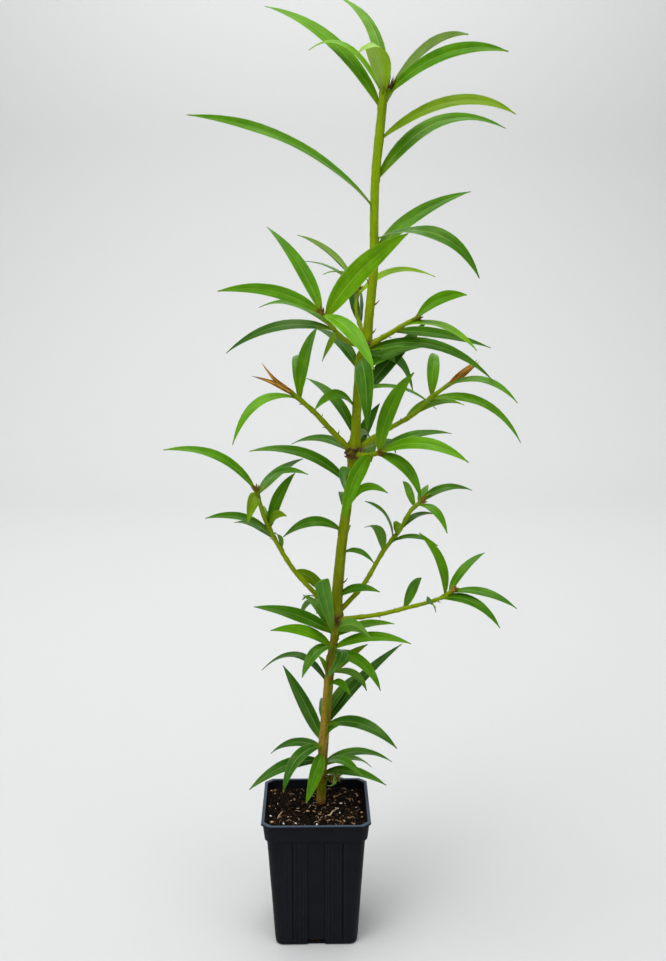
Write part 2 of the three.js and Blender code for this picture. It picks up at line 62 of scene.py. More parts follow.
def put(tree, kind, inputs=None, **settings):
    """A new node in a tree, with its settings made and its inputs set."""
    node = tree.nodes.new(kind)
    for name, value in settings.items():
        setattr(node, name, value)
    fill_in(node, inputs or {})
    return node


def rescale(tree, from_least, from_most, to_least, to_most, smooth=False):
    """A node that turns one range of values into another."""
    return put(tree, "ShaderNodeMapRange",
               {"From Min": from_least, "From Max": from_most, "To Min": to_least, "To Max": to_most},
               interpolation_type="SMOOTHSTEP" if smooth else "LINEAR")


def maths(tree, operation, inputs=None, **settings):
    """A node that works out one number from others."""
    return put(tree, "ShaderNodeMath", inputs, operation=operation, **settings)


def mix_colours(tree, **colours):
    """A node that mixes colour A with colour B by its Factor."""
    return put(tree, "ShaderNodeMix", colours, data_type="RGBA")


def wire(tree, *links):
    """Joins nodes in a tree. A link is a node, its output, the next node and its input."""
    for source, output, target, entry in links:
        tree.links.new(source.outputs[output], target.inputs[entry])


def sheet_of_points(rows, closed=False):
    """Vertices and faces over rows of points, each row as long as the next."""
    count = len(rows[0])
    faces = []
    for r in range(len(rows) - 1):
        for i in range(count if closed else count - 1):
            a, b = r * count + i, r * count + (i + 1) % count
            faces.append((a, b, b + count, a + count))
    return [tuple(point) for row in rows for point in row], faces


def new_piece(name, points, faces, *materials, smooth_below=None):
    """A mesh object from its points and faces. Edges sharper than smooth_below stay crisp."""
    mesh = bpy.data.meshes.new(name)
    mesh.from_pydata([tuple(point) for point in points], [], faces)
    for material in materials:
        mesh.materials.append(material)
    if smooth_below is not None:
        mesh.shade_smooth()
        mesh.set_sharp_from_angle(angle=math.radians(smooth_below))
    piece = bpy.data.objects.new(name, mesh)
    bpy.context.scene.collection.objects.link(piece)
    return piece


def bare_finish(name, inputs):
    """A new material with its tree and its shader, and the shader's inputs set."""
    material = bpy.data.materials.new(name)
    material.use_nodes = True
    shader = material.node_tree.nodes["Principled BSDF"]
    fill_in(shader, inputs)
    return material, material.node_tree, shader


paper, paper_tree, paper_shader = bare_finish("studio_paper", {"Roughness": 0.9})
paper_fibre = put(paper_tree, "ShaderNodeTexNoise", {"Scale": 300})
paper_tone = mix_colours(paper_tree, A=paint(184, 184, 183), B=paint(188, 188, 187))
paper_place = put(paper_tree, "ShaderNodeTexCoord")
wire(paper_tree, (paper_place, "Object", paper_fibre, "Vector"),
     (paper_fibre, "Fac", paper_tone, "Factor"),
     (paper_tone, "Result", paper_shader, "Base Color"))

PAPER_HALF_WIDTH = 6.0
PAPER_FRONT, PAPER_BEND_FROM, PAPER_BEND_RADIUS, PAPER_TOP = -4.0, 2.2, 1.2, 6.0
PAPER_BEND_STEPS = 24
paper_line = [(PAPER_FRONT, 0.0)]
for step in range(PAPER_BEND_STEPS + 1):
    turn = math.radians(90 * step / PAPER_BEND_STEPS)
    paper_line.append((PAPER_BEND_FROM + PAPER_BEND_RADIUS * math.sin(turn),
                       PAPER_BEND_RADIUS * (1 - math.cos(turn))))
paper_line.append((PAPER_BEND_FROM + PAPER_BEND_RADIUS, PAPER_TOP))
paper_points, paper_faces = sheet_of_points(
    [[(-PAPER_HALF_WIDTH, y, z), (PAPER_HALF_WIDTH, y, z)] for y, z in paper_line])
backdrop = new_piece("studio_backdrop", paper_points, [face[::-1] for face in paper_faces], paper,
                     smooth_below=60)

world = bpy.data.worlds.new("open_shade")
world.use_nodes = True
air = world.node_tree
air_way = put(air, "ShaderNodeTexCoord")
air_height = put(air, "ShaderNodeSeparateXYZ")
air_light = rescale(air, -0.1, 0.9, 0.2, 1.0, smooth=True)
air_glow = air.nodes["Background"]
fill_in(air_glow, {"Color": (0.93, 0.97, 1.0, 1)})
wire(air, (air_way, "Generated", air_height, "Vector"),
     (air_height, "Z", air_light, "Value"),
     (air_light, "Result", air_glow, "Strength"))
bpy.context.scene.world = world


def soft_light(name, place, aim, size, power, tint):
    """A round lamp that looks from its place to its aim."""
    lamp = bpy.data.lights.new(name, "AREA")
    lamp.shape = "DISK"
    lamp.size = size
    lamp.energy = power
    lamp.color = tint
    holder = bpy.data.objects.new(name, lamp)
    holder.location = place
    holder.rotation_euler = (Vector(aim) - Vector(place)).to_track_quat("-Z", "Y").to_euler()
    bpy.context.scene.collection.objects.link(holder)


PLANT_MIDDLE, BACKDROP_MIDDLE = (0, 0, 0.45), (0, 3.4, 1.6)
soft_light("sky_above", (-0.5, -0.6, 3.0), PLANT_MIDDLE, 2.0, 62, (0.98, 0.99, 1.0))
soft_light("open_front_left", (-1.9, -2.3, 2.2), PLANT_MIDDLE, 1.8, 26, (1.0, 0.99, 0.97))
soft_light("open_front_right", (2.1, -1.9, 1.9), PLANT_MIDDLE, 1.8, 12, (1.0, 0.99, 0.98))
soft_light("backdrop_wash", (0, 1.5, 3.2), BACKDROP_MIDDLE, 2.4, 75, (1.0, 1.0, 1.0))

SENSOR_WIDTH = 36
LENS_SHARE = 1100 / 961         # the focal length, as a share of the sensor's width
CAMERA_PLACE = (-0.0011, -0.9923, 0.6140)
CAMERA_DOWN, CAMERA_RIGHT = 9.89, 1.01      # which way it looks, in degrees
camera_data = bpy.data.cameras.new("camera")
camera_data.sensor_width = SENSOR_WIDTH
camera_data.lens = LENS_SHARE * SENSOR_WIDTH
camera_data.clip_start = 0.01
camera = bpy.data.objects.new("camera", camera_data)
camera.location = CAMERA_PLACE
camera.rotation_euler = (math.radians(90 - CAMERA_DOWN), 0, math.radians(-CAMERA_RIGHT))
bpy.context.scene.collection.objects.link(camera)
bpy.context.scene.camera = camera
bpy.context.scene.view_settings.view_transform = "Standard"


# ---------- pot ----------
# A square nursery pot, moulded in one piece from thin black polypropylene. Its body tapers to the
# foot, a straight band stiffens its top, and a flat lip with cut corners runs round the rim.
# Four notches under its sides let water out.
POT_HEIGHT = 127
LIP_HALF = 51
LIP_WIDTH = 3
LIP_HEIGHT = 2.5
LIP_CUT = 7.4
LIP_CUT_SHARE = 0.9             # how straight the corners of the lip are cut
LIP_EDGE = 0.3
BAND_HALF_TOP, BAND_HALF_FOOT, BAND_HEIGHT = 49.5, 47.9, 14.5
BODY_HALF_TOP, BODY_HALF_FOOT, BODY_CORNER = 46, 38.9, 8
LEDGE_DROP = 0.4
FOOT_ROUNDING = 2.4
WALL, FLOOR = 1.3, 1.8
DRAIN_WIDTH, DRAIN_DEPTH, DRAIN_HEIGHT = 17, 2.6, 6.2
PANEL_HALF, PANEL_STEP, PANEL_DEPTH = 7.6, 0.4, 0.8
PANEL_FOOT, PANEL_TOP = 6.5, 107.2
GROOVES = (-22, 24.8)           # thin upright grooves beside the panel
GROOVE_HALF, GROOVE_STEP = 0.4, 0.3
BAND_TOP = POT_HEIGHT - LIP_HEIGHT
BAND_FOOT = BAND_TOP - BAND_HEIGHT
CORNER_STEPS, CORNER_LEAD = 8, 0.8
FOOT_STEPS = 5


def square_ring(half, corner, height, cut=0.0, sunk=0.0):
    """A square with worked corners at one height. cut goes from round corners, 0, to straight
    ones, 1, and sunk presses a flat panel into the middle of each side."""
    straight = half - corner
    side = [(CORNER_LEAD - straight, 0), (0, sunk), (straight - CORNER_LEAD, 0)]
    grooves = [(x, GROOVE_HALF, GROOVE_STEP) for x in GROOVES]
    for x, width, step in [(0, PANEL_HALF, PANEL_STEP)] + grooves:
        side += [(x - width - step, 0), (x - width, sunk), (x + width, sunk), (x + width + step, 0)]
    quarter = [(x, -half + inset) for x, inset in sorted(side)]
    for k in range(CORNER_STEPS + 1):
        share = k / CORNER_STEPS
        angle = math.pi / 2 * share
        x = (1 - cut) * math.sin(angle) + cut * share
        y = (1 - cut) * math.cos(angle) + cut * (1 - share)
        quarter.append((straight + corner * x, -straight - corner * y))
    ring = []
    for turn in range(4):
        for x, y in quarter:
            for _ in range(turn):
                x, y = -y, x
            ring.append((x * MM, y * MM, height * MM))
    return ring


def body_half(height):
    """Half the width of the tapered body at a height."""
    share = (height - FOOT_ROUNDING) / (BAND_FOOT - FOOT_ROUNDING)
    return BODY_HALF_FOOT + (BODY_HALF_TOP - BODY_HALF_FOOT) * share


def closed_skin(rings):
    """Vertices and faces of a closed skin over rings that go up the outside."""
    points, faces = sheet_of_points(rings, closed=True)
    count = len(rings[0])
    last = len(points) - count
    faces.append(tuple(range(count - 1, -1, -1)))
    faces.append(tuple(range(last, last + count)))
    return points, faces


# Wear, dust and the fine grain of a surface, shared by most of the finishes. Shade goes from 0 to 1
# in soft clouds with finer specks, and Height is the grain for a bump.
grain = bpy.data.node_groups.new("fine_grain", "ShaderNodeTree")
for socket_name, start in (("Cloud Scale", 30.0), ("Speck Scale", 400.0), ("Speck Share", 0.4)):
    socket = grain.interface.new_socket(socket_name, in_out="INPUT", socket_type="NodeSocketFloat")
    socket.default_value = start
grain.interface.new_socket("Place", in_out="INPUT", socket_type="NodeSocketVector")
grain.interface.new_socket("Shade", in_out="OUTPUT", socket_type="NodeSocketFloat")
grain.interface.new_socket("Height", in_out="OUTPUT", socket_type="NodeSocketFloat")
grain_in = put(grain, "NodeGroupInput")
grain_out = put(grain, "NodeGroupOutput")
clouds = put(grain, "ShaderNodeTexNoise", {"Detail": 4})
specks = put(grain, "ShaderNodeTexNoise", {"Detail": 3})
grain_blend = put(grain, "ShaderNodeMix", data_type="FLOAT")
for texture, scale in ((clouds, "Cloud Scale"), (specks, "Speck Scale")):
    wire(grain, (grain_in, "Place", texture, "Vector"), (grain_in, scale, texture, "Scale"))
wire(grain, (grain_in, "Speck Share", grain_blend, "Factor"),
     (clouds, "Fac", grain_blend, "A"),
     (specks, "Fac", grain_blend, "B"),
     (grain_blend, "Result", grain_out, "Shade"),
     (specks, "Fac", grain_out, "Height"))


def colour_ramp(tree, colours):
    """A node that turns a value into a colour, by a row of (share, colour)."""
    ramp = put(tree, "ShaderNodeValToRGB")
    marks = ramp.color_ramp.elements
    marks.remove(marks[-1])
    for k, (share, colour) in enumerate(colours):
        mark = marks.new(share) if k else marks[0]
        mark.position = share
        mark.color = colour
    return ramp


def grained_finish(name, colours, roughness, clouds=30.0, specks=400.0, speck_share=0.4,
                   bump=0.0, bump_depth=0.1, gloss=0.2):
    """A material whose colour goes through a row of (share, colour) by the shared grain, with
    its roughness between two values and the grain as a fine relief."""
    material, tree, shader = bare_finish(name, {"Specular IOR Level": gloss})
    where = put(tree, "ShaderNodeTexCoord")
    worn = put(tree, "ShaderNodeGroup", node_tree=grain)
    fill_in(worn, {"Cloud Scale": clouds, "Speck Scale": specks, "Speck Share": speck_share})
    ramp = colour_ramp(tree, colours)
    sheen = rescale(tree, 0.3, 0.7, *roughness)
    wire(tree, (where, "Object", worn, "Place"),
         (worn, "Shade", ramp, "Fac"),
         (ramp, "Color", shader, "Base Color"),
         (worn, "Shade", sheen, "Value"),
         (sheen, "Result", shader, "Roughness"))
    if bump:
        relief = put(tree, "ShaderNodeBump", {"Strength": bump, "Distance": bump_depth * MM})
        wire(tree, (worn, "Height", relief, "Height"),
             (relief, "Normal", shader, "Normal"))
    return material


pot_plastic = grained_finish(
    "pot_plastic", [(0.3, paint(12, 13, 18)), (0.7, paint(20, 21, 28))], (0.42, 0.55),
    clouds=45, specks=1500, speck_share=0.25, bump=0.25, bump_depth=0.06, gloss=0.09)
# the top of the lip is painted a bluish grey: a painted reflection of the sky on it
pot_tree, pot_shader = pot_plastic.node_tree, pot_plastic.node_tree.nodes["Principled BSDF"]
pot_place = put(pot_tree, "ShaderNodeTexCoord")
pot_level = put(pot_tree, "ShaderNodeSeparateXYZ")
lip_reflection_mask = rescale(pot_tree, (POT_HEIGHT - 0.9) * MM, (POT_HEIGHT - 0.1) * MM, 0, 0.6, smooth=True)
lip_reflection = mix_colours(pot_tree, B=paint(76, 88, 104))
wire(
    pot_tree,
    (pot_place, "Object", pot_level, "Vector"),
    (pot_level, "Z", lip_reflection_mask, "Value"),
    (lip_reflection_mask, "Result", lip_reflection, "Factor"),
    (pot_tree.nodes["Color Ramp"], "Color", lip_reflection, "A"),
    (lip_reflection, "Result", pot_shader, "Base Color"))

pot_rings = []
for step in range(FOOT_STEPS + 1):
    turn = math.pi / 2 * step / FOOT_STEPS
    out, height = FOOT_ROUNDING * (math.sin(turn) - 1), FOOT_ROUNDING * (1 - math.cos(turn))
    pot_rings.append(square_ring(BODY_HALF_FOOT + out, BODY_CORNER + out, height))
# up the outside, over the lip and down the inside: half width, corner, height, how straight the
# corner is cut, and how deep the panel and the grooves are
pot_rings += [square_ring(*row) for row in (
    (body_half(PANEL_FOOT - 1), BODY_CORNER, PANEL_FOOT - 1),
    (body_half(PANEL_FOOT), BODY_CORNER, PANEL_FOOT, 0, PANEL_DEPTH),
    (body_half(60), BODY_CORNER, 60, 0, PANEL_DEPTH),
    (body_half(PANEL_TOP), BODY_CORNER, PANEL_TOP, 0, PANEL_DEPTH),
    (body_half(PANEL_TOP + 0.8), BODY_CORNER, PANEL_TOP + 0.8),
    (BODY_HALF_TOP, BODY_CORNER, BAND_FOOT - LEDGE_DROP),
    (BAND_HALF_FOOT - 0.3, BODY_CORNER, BAND_FOOT - 0.1),
    (BAND_HALF_FOOT, BODY_CORNER, BAND_FOOT + 0.25),
    (BAND_HALF_TOP, BODY_CORNER, BAND_TOP - LIP_EDGE),
    (LIP_HALF - 0.4, LIP_CUT, BAND_TOP - 0.1, LIP_CUT_SHARE),
    (LIP_HALF, LIP_CUT, BAND_TOP + LIP_EDGE, LIP_CUT_SHARE),
    (LIP_HALF, LIP_CUT, POT_HEIGHT - 0.7, LIP_CUT_SHARE),
    (LIP_HALF - 0.2, LIP_CUT, POT_HEIGHT - 0.2, LIP_CUT_SHARE),
    (LIP_HALF - 0.7, LIP_CUT, POT_HEIGHT, LIP_CUT_SHARE),
    (LIP_HALF - LIP_WIDTH + 0.4, LIP_CUT, POT_HEIGHT, LIP_CUT_SHARE),
    (LIP_HALF - LIP_WIDTH, LIP_CUT, POT_HEIGHT - 0.4, 0.8),
    (BAND_HALF_FOOT - WALL, BODY_CORNER, BAND_FOOT),
    (BODY_HALF_TOP - WALL, BODY_CORNER, BAND_FOOT - LEDGE_DROP - WALL / 2),
    (body_half(2 * FLOOR) - WALL, BODY_CORNER - WALL, 2 * FLOOR),
    (body_half(FLOOR) - 2 * WALL, BODY_CORNER - 2 * WALL, FLOOR))]
pot = new_piece("pot_shell", *closed_skin(pot_rings), pot_plastic)
DRAIN_CORNERS = [Vector((x * DRAIN_WIDTH / 2, y * DRAIN_DEPTH - BODY_HALF_FOOT, z * DRAIN_HEIGHT)) * MM
                 for z in (-1, 1) for x, y in ((-1, -1), (1, -1), (1, 1), (-1, 1))]
DRAIN_FACES = [(3, 2, 1, 0), (4, 5, 6, 7), (0, 1, 5, 4), (1, 2, 6, 5), (2, 3, 7, 6), (3, 0, 4, 7)]
drain_cutters = []
for side in range(4):
    quarter_turn = Matrix.Rotation(side * math.pi / 2, 3, "Z")
    cutter = new_piece("drain_cutter", [quarter_turn @ corner for corner in DRAIN_CORNERS], DRAIN_FACES)
    drain_cutters.append(cutter)
    notch = pot.modifiers.new("drain", "BOOLEAN")
    notch.operation = "DIFFERENCE"
    notch.solver = "EXACT"
    notch.object = cutter


def settled(piece):
    """The piece as a plain mesh, with its modifiers worked out and taken off."""
    bpy.context.view_layer.update()
    worked_out = piece.evaluated_get(bpy.context.evaluated_depsgraph_get())
    worked = bpy.data.meshes.new_from_object(worked_out)
    piece.modifiers.clear()
    piece.data = worked
    return piece


settled(pot)
for cutter in drain_cutters:
    bpy.data.objects.remove(cutter)
pot.data.shade_smooth()
pot.data.set_sharp_from_angle(angle=math.radians(32))
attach(pot, "root")
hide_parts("pot")


# ---------- ribs of the pot ----------
# Thin upright ribs stiffen each side of the body to the left and right of the middle panel. They
# are moulded with the wall, stand half a millimetre proud and are painted a little paler, a painted
# highlight where the light catches them.
def new_recipe(name, numbers=(), materials=()):
    """A geometry recipe with named inputs, and its first and last node."""
    tree = bpy.data.node_groups.new(name, "GeometryNodeTree")
    tree.interface.new_socket("Geometry", in_out="INPUT", socket_type="NodeSocketGeometry")
    for label, kind in numbers:
        tree.interface.new_socket(label, in_out="INPUT", socket_type=kind)
    for label in materials:
        tree.interface.new_socket(label, in_out="INPUT", socket_type="NodeSocketMaterial")
    tree.interface.new_socket("Geometry", in_out="OUTPUT", socket_type="NodeSocketGeometry")
    return tree, put(tree, "NodeGroupInput"), put(tree, "NodeGroupOutput")


def follow_recipe(piece, tree, values):
    """Puts a recipe on a piece, with its inputs set, and works it out to a plain mesh."""
    step = piece.modifiers.new(tree.name, "NODES")
    step.node_group = tree
    for socket in tree.interface.items_tree:
        if socket.in_out == "INPUT" and socket.name in values:
            step[socket.identifier] = values[socket.name]
    return settled(piece)


FLOAT, WHOLE = "NodeSocketFloat", "NodeSocketInt"
rib_recipe, rib_in, rib_out = new_recipe(
    "pot_ribs", (("Rib Width", FLOAT), ("Rib Length", FLOAT), ("Lean", FLOAT), ("Sides", WHOLE)),
    ("Plastic",))
rib_line = put(rib_recipe, "GeometryNodeCurvePrimitiveLine")
rib_top = put(rib_recipe, "ShaderNodeCombineXYZ")
rib_round = put(rib_recipe, "GeometryNodeCurvePrimitiveCircle", {"Resolution": 10})
rib_half = maths(rib_recipe, "MULTIPLY", {1: 0.5})
rib_bar = put(rib_recipe, "GeometryNodeCurveToMesh", {"Fill Caps": True})
rib_tilt = put(rib_recipe, "ShaderNodeCombineXYZ")
rib_row = put(rib_recipe, "GeometryNodeInstanceOnPoints")
side_points = put(rib_recipe, "GeometryNodePoints")
side_index = put(rib_recipe, "GeometryNodeInputIndex")
side_turn = maths(rib_recipe, "MULTIPLY", {1: math.pi / 2})
side_angle = put(rib_recipe, "ShaderNodeCombineXYZ")
side_copies = put(rib_recipe, "GeometryNodeInstanceOnPoints")
rib_real = put(rib_recipe, "GeometryNodeRealizeInstances")
rib_smooth = put(rib_recipe, "GeometryNodeSetShadeSmooth")
rib_plastic = put(rib_recipe, "GeometryNodeSetMaterial")
wire(
    rib_recipe,
    (rib_in, "Rib Length", rib_top, "Z"),
    (rib_top, "Vector", rib_line, "End"),
    (rib_in, "Rib Width", rib_half, 0),
    (rib_half, "Value", rib_round, "Radius"),
    (rib_line, "Curve", rib_bar, "Curve"),
    (rib_round, "Curve", rib_bar, "Profile Curve"),
    (rib_in, "Lean", rib_tilt, "X"),
    (rib_in, "Geometry", rib_row, "Points"),
    (rib_bar, "Mesh", rib_row, "Instance"),
    (rib_tilt, "Vector", rib_row, "Rotation"),
    (rib_in, "Sides", side_points, "Count"),
    (side_points, "Points", side_copies, "Points"),
    (rib_row, "Instances", side_copies, "Instance"),
    (side_index, "Index", side_turn, 0),
    (side_turn, "Value", side_angle, "Z"),
    (side_angle, "Vector", side_copies, "Rotation"),
    (side_copies, "Instances", rib_real, "Geometry"),
    (rib_real, "Geometry", rib_smooth, "Geometry"),
    (rib_smooth, "Geometry", rib_plastic, "Geometry"),
    (rib_in, "Plastic", rib_plastic, "Material"),
    (rib_plastic, "Geometry", rib_out, "Geometry"))

RIB_PLACES = (-29.4, -27.6, -25.8, -24, -20.4, -15.6, -12.2, -10.2,
              9.8, 11.6, 15.4, 18.4, 20.2, 22.4, 26.6, 28.6)
RIB_WIDTH, RIB_SINK = 1.0, 0.05
RIB_FROM, RIB_TO = 4.0, 108.6
# paler than the pot's own plastic: a painted highlight along the ribs
rib_highlight_plastic = grained_finish(
    "rib_highlight_plastic", [(0.3, paint(13, 14, 19)), (0.7, paint(30, 32, 40))], (0.4, 0.55),
    clouds=160, specks=1500, speck_share=0.3, bump=0.25, bump_depth=0.06, gloss=0.12)
lean = math.atan((BODY_HALF_TOP - BODY_HALF_FOOT) / (BAND_FOOT - FOOT_ROUNDING))
rib_feet = [Vector((x, RIB_SINK - body_half(RIB_FROM), RIB_FROM)) * MM for x in RIB_PLACES]
ribs = new_piece("pot_ribs", rib_feet, [])
follow_recipe(ribs, rib_recipe, {
    "Rib Width": RIB_WIDTH * MM, "Rib Length": (RIB_TO - RIB_FROM) / math.cos(lean) * MM,
    "Lean": lean, "Sides": 4, "Plastic": rib_highlight_plastic})
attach(ribs, "root")


# ---------- soil ----------
# Moist potting mix fills the pot to about 8 mm under its rim: dark peat in crumbs, chips of
# composted bark, white grains of perlite and a few pale fibres and root ends on its top.
SOIL_LEVEL = 119
SOIL_GAP = 0.1
SOIL_EDGE_DROP = 0.5
SOIL_HALF = 47.2
SOIL_EDGE_WIDTH = 5
# the side of the soil, from its top down: height and half width
SOIL_SIDE = ((BAND_FOOT + 1, BAND_HALF_FOOT - WALL - SOIL_GAP),
             (BAND_FOOT - 2, BODY_HALF_TOP - WALL - SOIL_GAP - 0.2),
             (FLOOR + SOIL_GAP, body_half(2 * FLOOR) - 2 * WALL))
# how far the corners of the soil are rounded off, and how near to the corners that starts
SOIL_CORNER, SOIL_CORNER_SHARPNESS = 0.17, 16
# swells, lumps and crumbs on its top: how wide, how high, and a place in the noise
SOIL_SWELLS, SOIL_LUMPS, SOIL_CRUMBS = (17, 1.6, 3.1), (6, 2.0, 8.4), (2.2, 1.0, 1.7)
TRUNK_FOOT = (4.7, 15)
LEVEL_RADIUS, LEVEL_FADE = 5, 14    # the soil is nearly level round the trunk


def soil_height(x, y):
    """The top of the soil: swells, lumps and crumbs, level where the trunk stands."""
    swell, clod, crumb = (noise.noise((x / wide, y / wide, place)) * high
                          for wide, high, place in (SOIL_SWELLS, SOIL_LUMPS, SOIL_CRUMBS))
    away = min(1.0, max(0.0, (math.dist((x, y), TRUNK_FOOT) - LEVEL_RADIUS) / LEVEL_FADE))
    edge = max(0.0, (max(abs(x), abs(y)) - SOIL_HALF + SOIL_EDGE_WIDTH) / SOIL_EDGE_WIDTH)
    top = SOIL_LEVEL - 0.6 + (swell + clod) * (0.25 + 0.75 * away) + crumb
    return top - SOIL_EDGE_DROP * edge * edge


soil_cells = 92
soil_points, soil_faces = [], []
for j in range(soil_cells + 1):
    for i in range(soil_cells + 1):
        # a square grid bent into the pot's rounded square
        u, v = 2 * i / soil_cells - 1, 2 * j / soil_cells - 1
        diagonal = min(abs(u), abs(v)) / max(abs(u), abs(v), 1e-6)
        rounding = 1 - 1 / math.sqrt(1 + diagonal ** SOIL_CORNER_SHARPNESS)
        pull = 1 - rounding * SOIL_CORNER
        x, y = u * pull * SOIL_HALF, v * pull * SOIL_HALF
        soil_points.append((x * MM, y * MM, soil_height(x, y) * MM))
row = soil_cells + 1
for j in range(soil_cells):
    for i in range(soil_cells):
        a = j * row + i
        soil_faces.append((a, a + 1, a + row + 1, a + row))
top_faces = len(soil_faces)
rim = list(range(row)) + [j * row + soil_cells for j in range(1, row)]
rim += [soil_cells * row + i for i in range(soil_cells - 1, -1, -1)]
rim += [j * row for j in range(soil_cells - 1, 0, -1)]
top_points = len(soil_points)
above = rim
for height, half in SOIL_SIDE:
    below = list(range(len(soil_points), len(soil_points) + len(rim)))
    for index in rim:
        x, y, _ = soil_points[index]
        soil_points.append((x * half / SOIL_HALF, y * half / SOIL_HALF, height * MM))
    for k in range(len(rim)):
        following = (k + 1) % len(rim)
        soil_faces.append((above[following], above[k], below[k], below[following]))
    above = below
soil_faces.append(tuple(reversed(above)))

peat = grained_finish(
    "peat", [(0.38, paint(4, 3, 2)), (0.52, paint(18, 13, 9)), (0.66, paint(58, 40, 27))], (0.85, 1.0),
    clouds=330, specks=900, speck_share=0.45, bump=0.9, bump_depth=0.9, gloss=0.05)
soil = new_piece("soil_bed", soil_points, soil_faces, peat, smooth_below=60)
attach(soil, "root")
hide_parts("soil")

TRIPLE = "NodeSocketVector"
crumb_recipe, crumb_in, crumb_out = new_recipe(
    "loose_bits", (("Density", FLOAT), ("Seed", WHOLE), ("Smallest", TRIPLE), ("Largest", TRIPLE),
                   ("Tumble", FLOAT), ("Roughness Scale", FLOAT), ("Roughness", FLOAT),
                   ("Rounding", WHOLE)), ("Mix",))
scatter = put(crumb_recipe, "GeometryNodeDistributePointsOnFaces")
bit = put(crumb_recipe, "GeometryNodeMeshIcoSphere", {"Radius": 0.5})
bit_size = put(crumb_recipe, "FunctionNodeRandomValue", data_type="FLOAT_VECTOR")
bit_turn = put(crumb_recipe, "FunctionNodeRandomValue", data_type="FLOAT_VECTOR")
bit_tumble = put(crumb_recipe, "ShaderNodeCombineXYZ", {"Z": math.pi})
bit_back = put(crumb_recipe, "ShaderNodeVectorMath", {"Scale": -1}, operation="SCALE")
bits = put(crumb_recipe, "GeometryNodeInstanceOnPoints")
bits_real = put(crumb_recipe, "GeometryNodeRealizeInstances")
bit_place = put(crumb_recipe, "GeometryNodeInputPosition")
bit_noise = put(crumb_recipe, "ShaderNodeTexNoise")
bit_centre = put(crumb_recipe, "ShaderNodeVectorMath", {1: (0.5, 0.5, 0.5)}, operation="SUBTRACT")
bit_push = put(crumb_recipe, "ShaderNodeVectorMath", operation="SCALE")
bit_rough = put(crumb_recipe, "GeometryNodeSetPosition")
bit_mix = put(crumb_recipe, "GeometryNodeSetMaterial")
wire(
    crumb_recipe,
    (crumb_in, "Geometry", scatter, "Mesh"),
    (crumb_in, "Density", scatter, "Density"),
    (crumb_in, "Seed", scatter, "Seed"),
    (crumb_in, "Rounding", bit, "Subdivisions"),
    (crumb_in, "Smallest", bit_size, "Min"),
    (crumb_in, "Largest", bit_size, "Max"),
    (crumb_in, "Seed", bit_size, "Seed"),
    (crumb_in, "Seed", bit_turn, "Seed"),
    (crumb_in, "Tumble", bit_tumble, "X"),
    (crumb_in, "Tumble", bit_tumble, "Y"),
    (bit_tumble, "Vector", bit_turn, "Max"),
    (bit_tumble, "Vector", bit_back, 0),
    (bit_back, "Vector", bit_turn, "Min"),
    (scatter, "Points", bits, "Points"),
    (bit, "Mesh", bits, "Instance"),
    (bit_size, "Value", bits, "Scale"),
    (bit_turn, "Value", bits, "Rotation"),
    (bits, "Instances", bits_real, "Geometry"),
    (bit_place, "Position", bit_noise, "Vector"),
    (crumb_in, "Roughness Scale", bit_noise, "Scale"),
    (bit_noise, "Color", bit_centre, 0),
    (bit_centre, "Vector", bit_push, 0),
    (crumb_in, "Roughness", bit_push, "Scale"),
    (bits_real, "Geometry", bit_rough, "Geometry"),
    (bit_push, "Vector", bit_rough, "Offset"),
    (bit_rough, "Geometry", bit_mix, "Geometry"),
    (crumb_in, "Mix", bit_mix, "Material"),
    (bit_mix, "Geometry", crumb_out, "Geometry"))

bark_chip = grained_finish(
    "bark_chip", [(0.4, paint(22, 14, 9)), (0.52, paint(50, 34, 22)), (0.64, paint(104, 74, 48))],
    (0.7, 0.95),
    clouds=300, specks=1200, speck_share=0.35, bump=0.6, bump_depth=0.3, gloss=0.1)
pale_chip = grained_finish(
    "pale_chip", [(0.36, paint(74, 50, 32)), (0.5, paint(146, 108, 72)), (0.64, paint(208, 172, 130))],
    (0.7, 0.95),
    clouds=350, specks=1200, speck_share=0.35, bump=0.6, bump_depth=0.3)
perlite = grained_finish(
    "perlite", [(0.35, paint(206, 204, 196)), (0.6, paint(248, 247, 242))], (0.7, 0.9),
    clouds=400, specks=1500, speck_share=0.5, bump=0.7, bump_depth=0.3)
LOOSE_BITS = (
    ("soil_crumbs", peat, dict(Density=210000, Smallest=(0.8, 0.8, 0.7), Largest=(4.2, 3.4, 3.0),
                               Seed=5, Tumble=3.1, Roughness=1.5, Rounding=1)),
    ("bark_chips", bark_chip, dict(Density=46000, Smallest=(1.2, 0.8, 0.6), Largest=(5.2, 2.6, 1.7),
                                   Seed=12, Tumble=0.7, Roughness=1.2, Rounding=1)),
    ("pale_chips", pale_chip, dict(Density=7500, Smallest=(0.8, 0.6, 0.6), Largest=(3.2, 1.8, 1.6),
                                   Seed=31, Tumble=0.9, Roughness=1.0, Rounding=1)),
    ("perlite_grains", perlite, dict(Density=1200, Smallest=(0.8, 0.8, 0.8), Largest=(2.0, 1.8, 1.6),
                                     Seed=23, Tumble=3.1, Roughness=0.8, Rounding=2)),
)
BARE_EDGE = 1.2                 # no loose bits lie this near to the wall
soil_top = [face for face in soil_faces[:top_faces]
            if max(abs(c) for i in face for c in soil_points[i][:2]) < (SOIL_HALF - BARE_EDGE) * MM]
for name, mix, sizes in LOOSE_BITS:
    scattered = new_piece(name, soil_points[:top_points], soil_top)
    follow_recipe(scattered, crumb_recipe, {
        **sizes, "Mix": mix, "Density": float(sizes["Density"]), "Roughness Scale": 700.0,
        "Smallest": [v * MM for v in sizes["Smallest"]], "Largest": [v * MM for v in sizes["Largest"]],
        "Roughness": sizes["Roughness"] * MM})
    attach(scattered, "root")


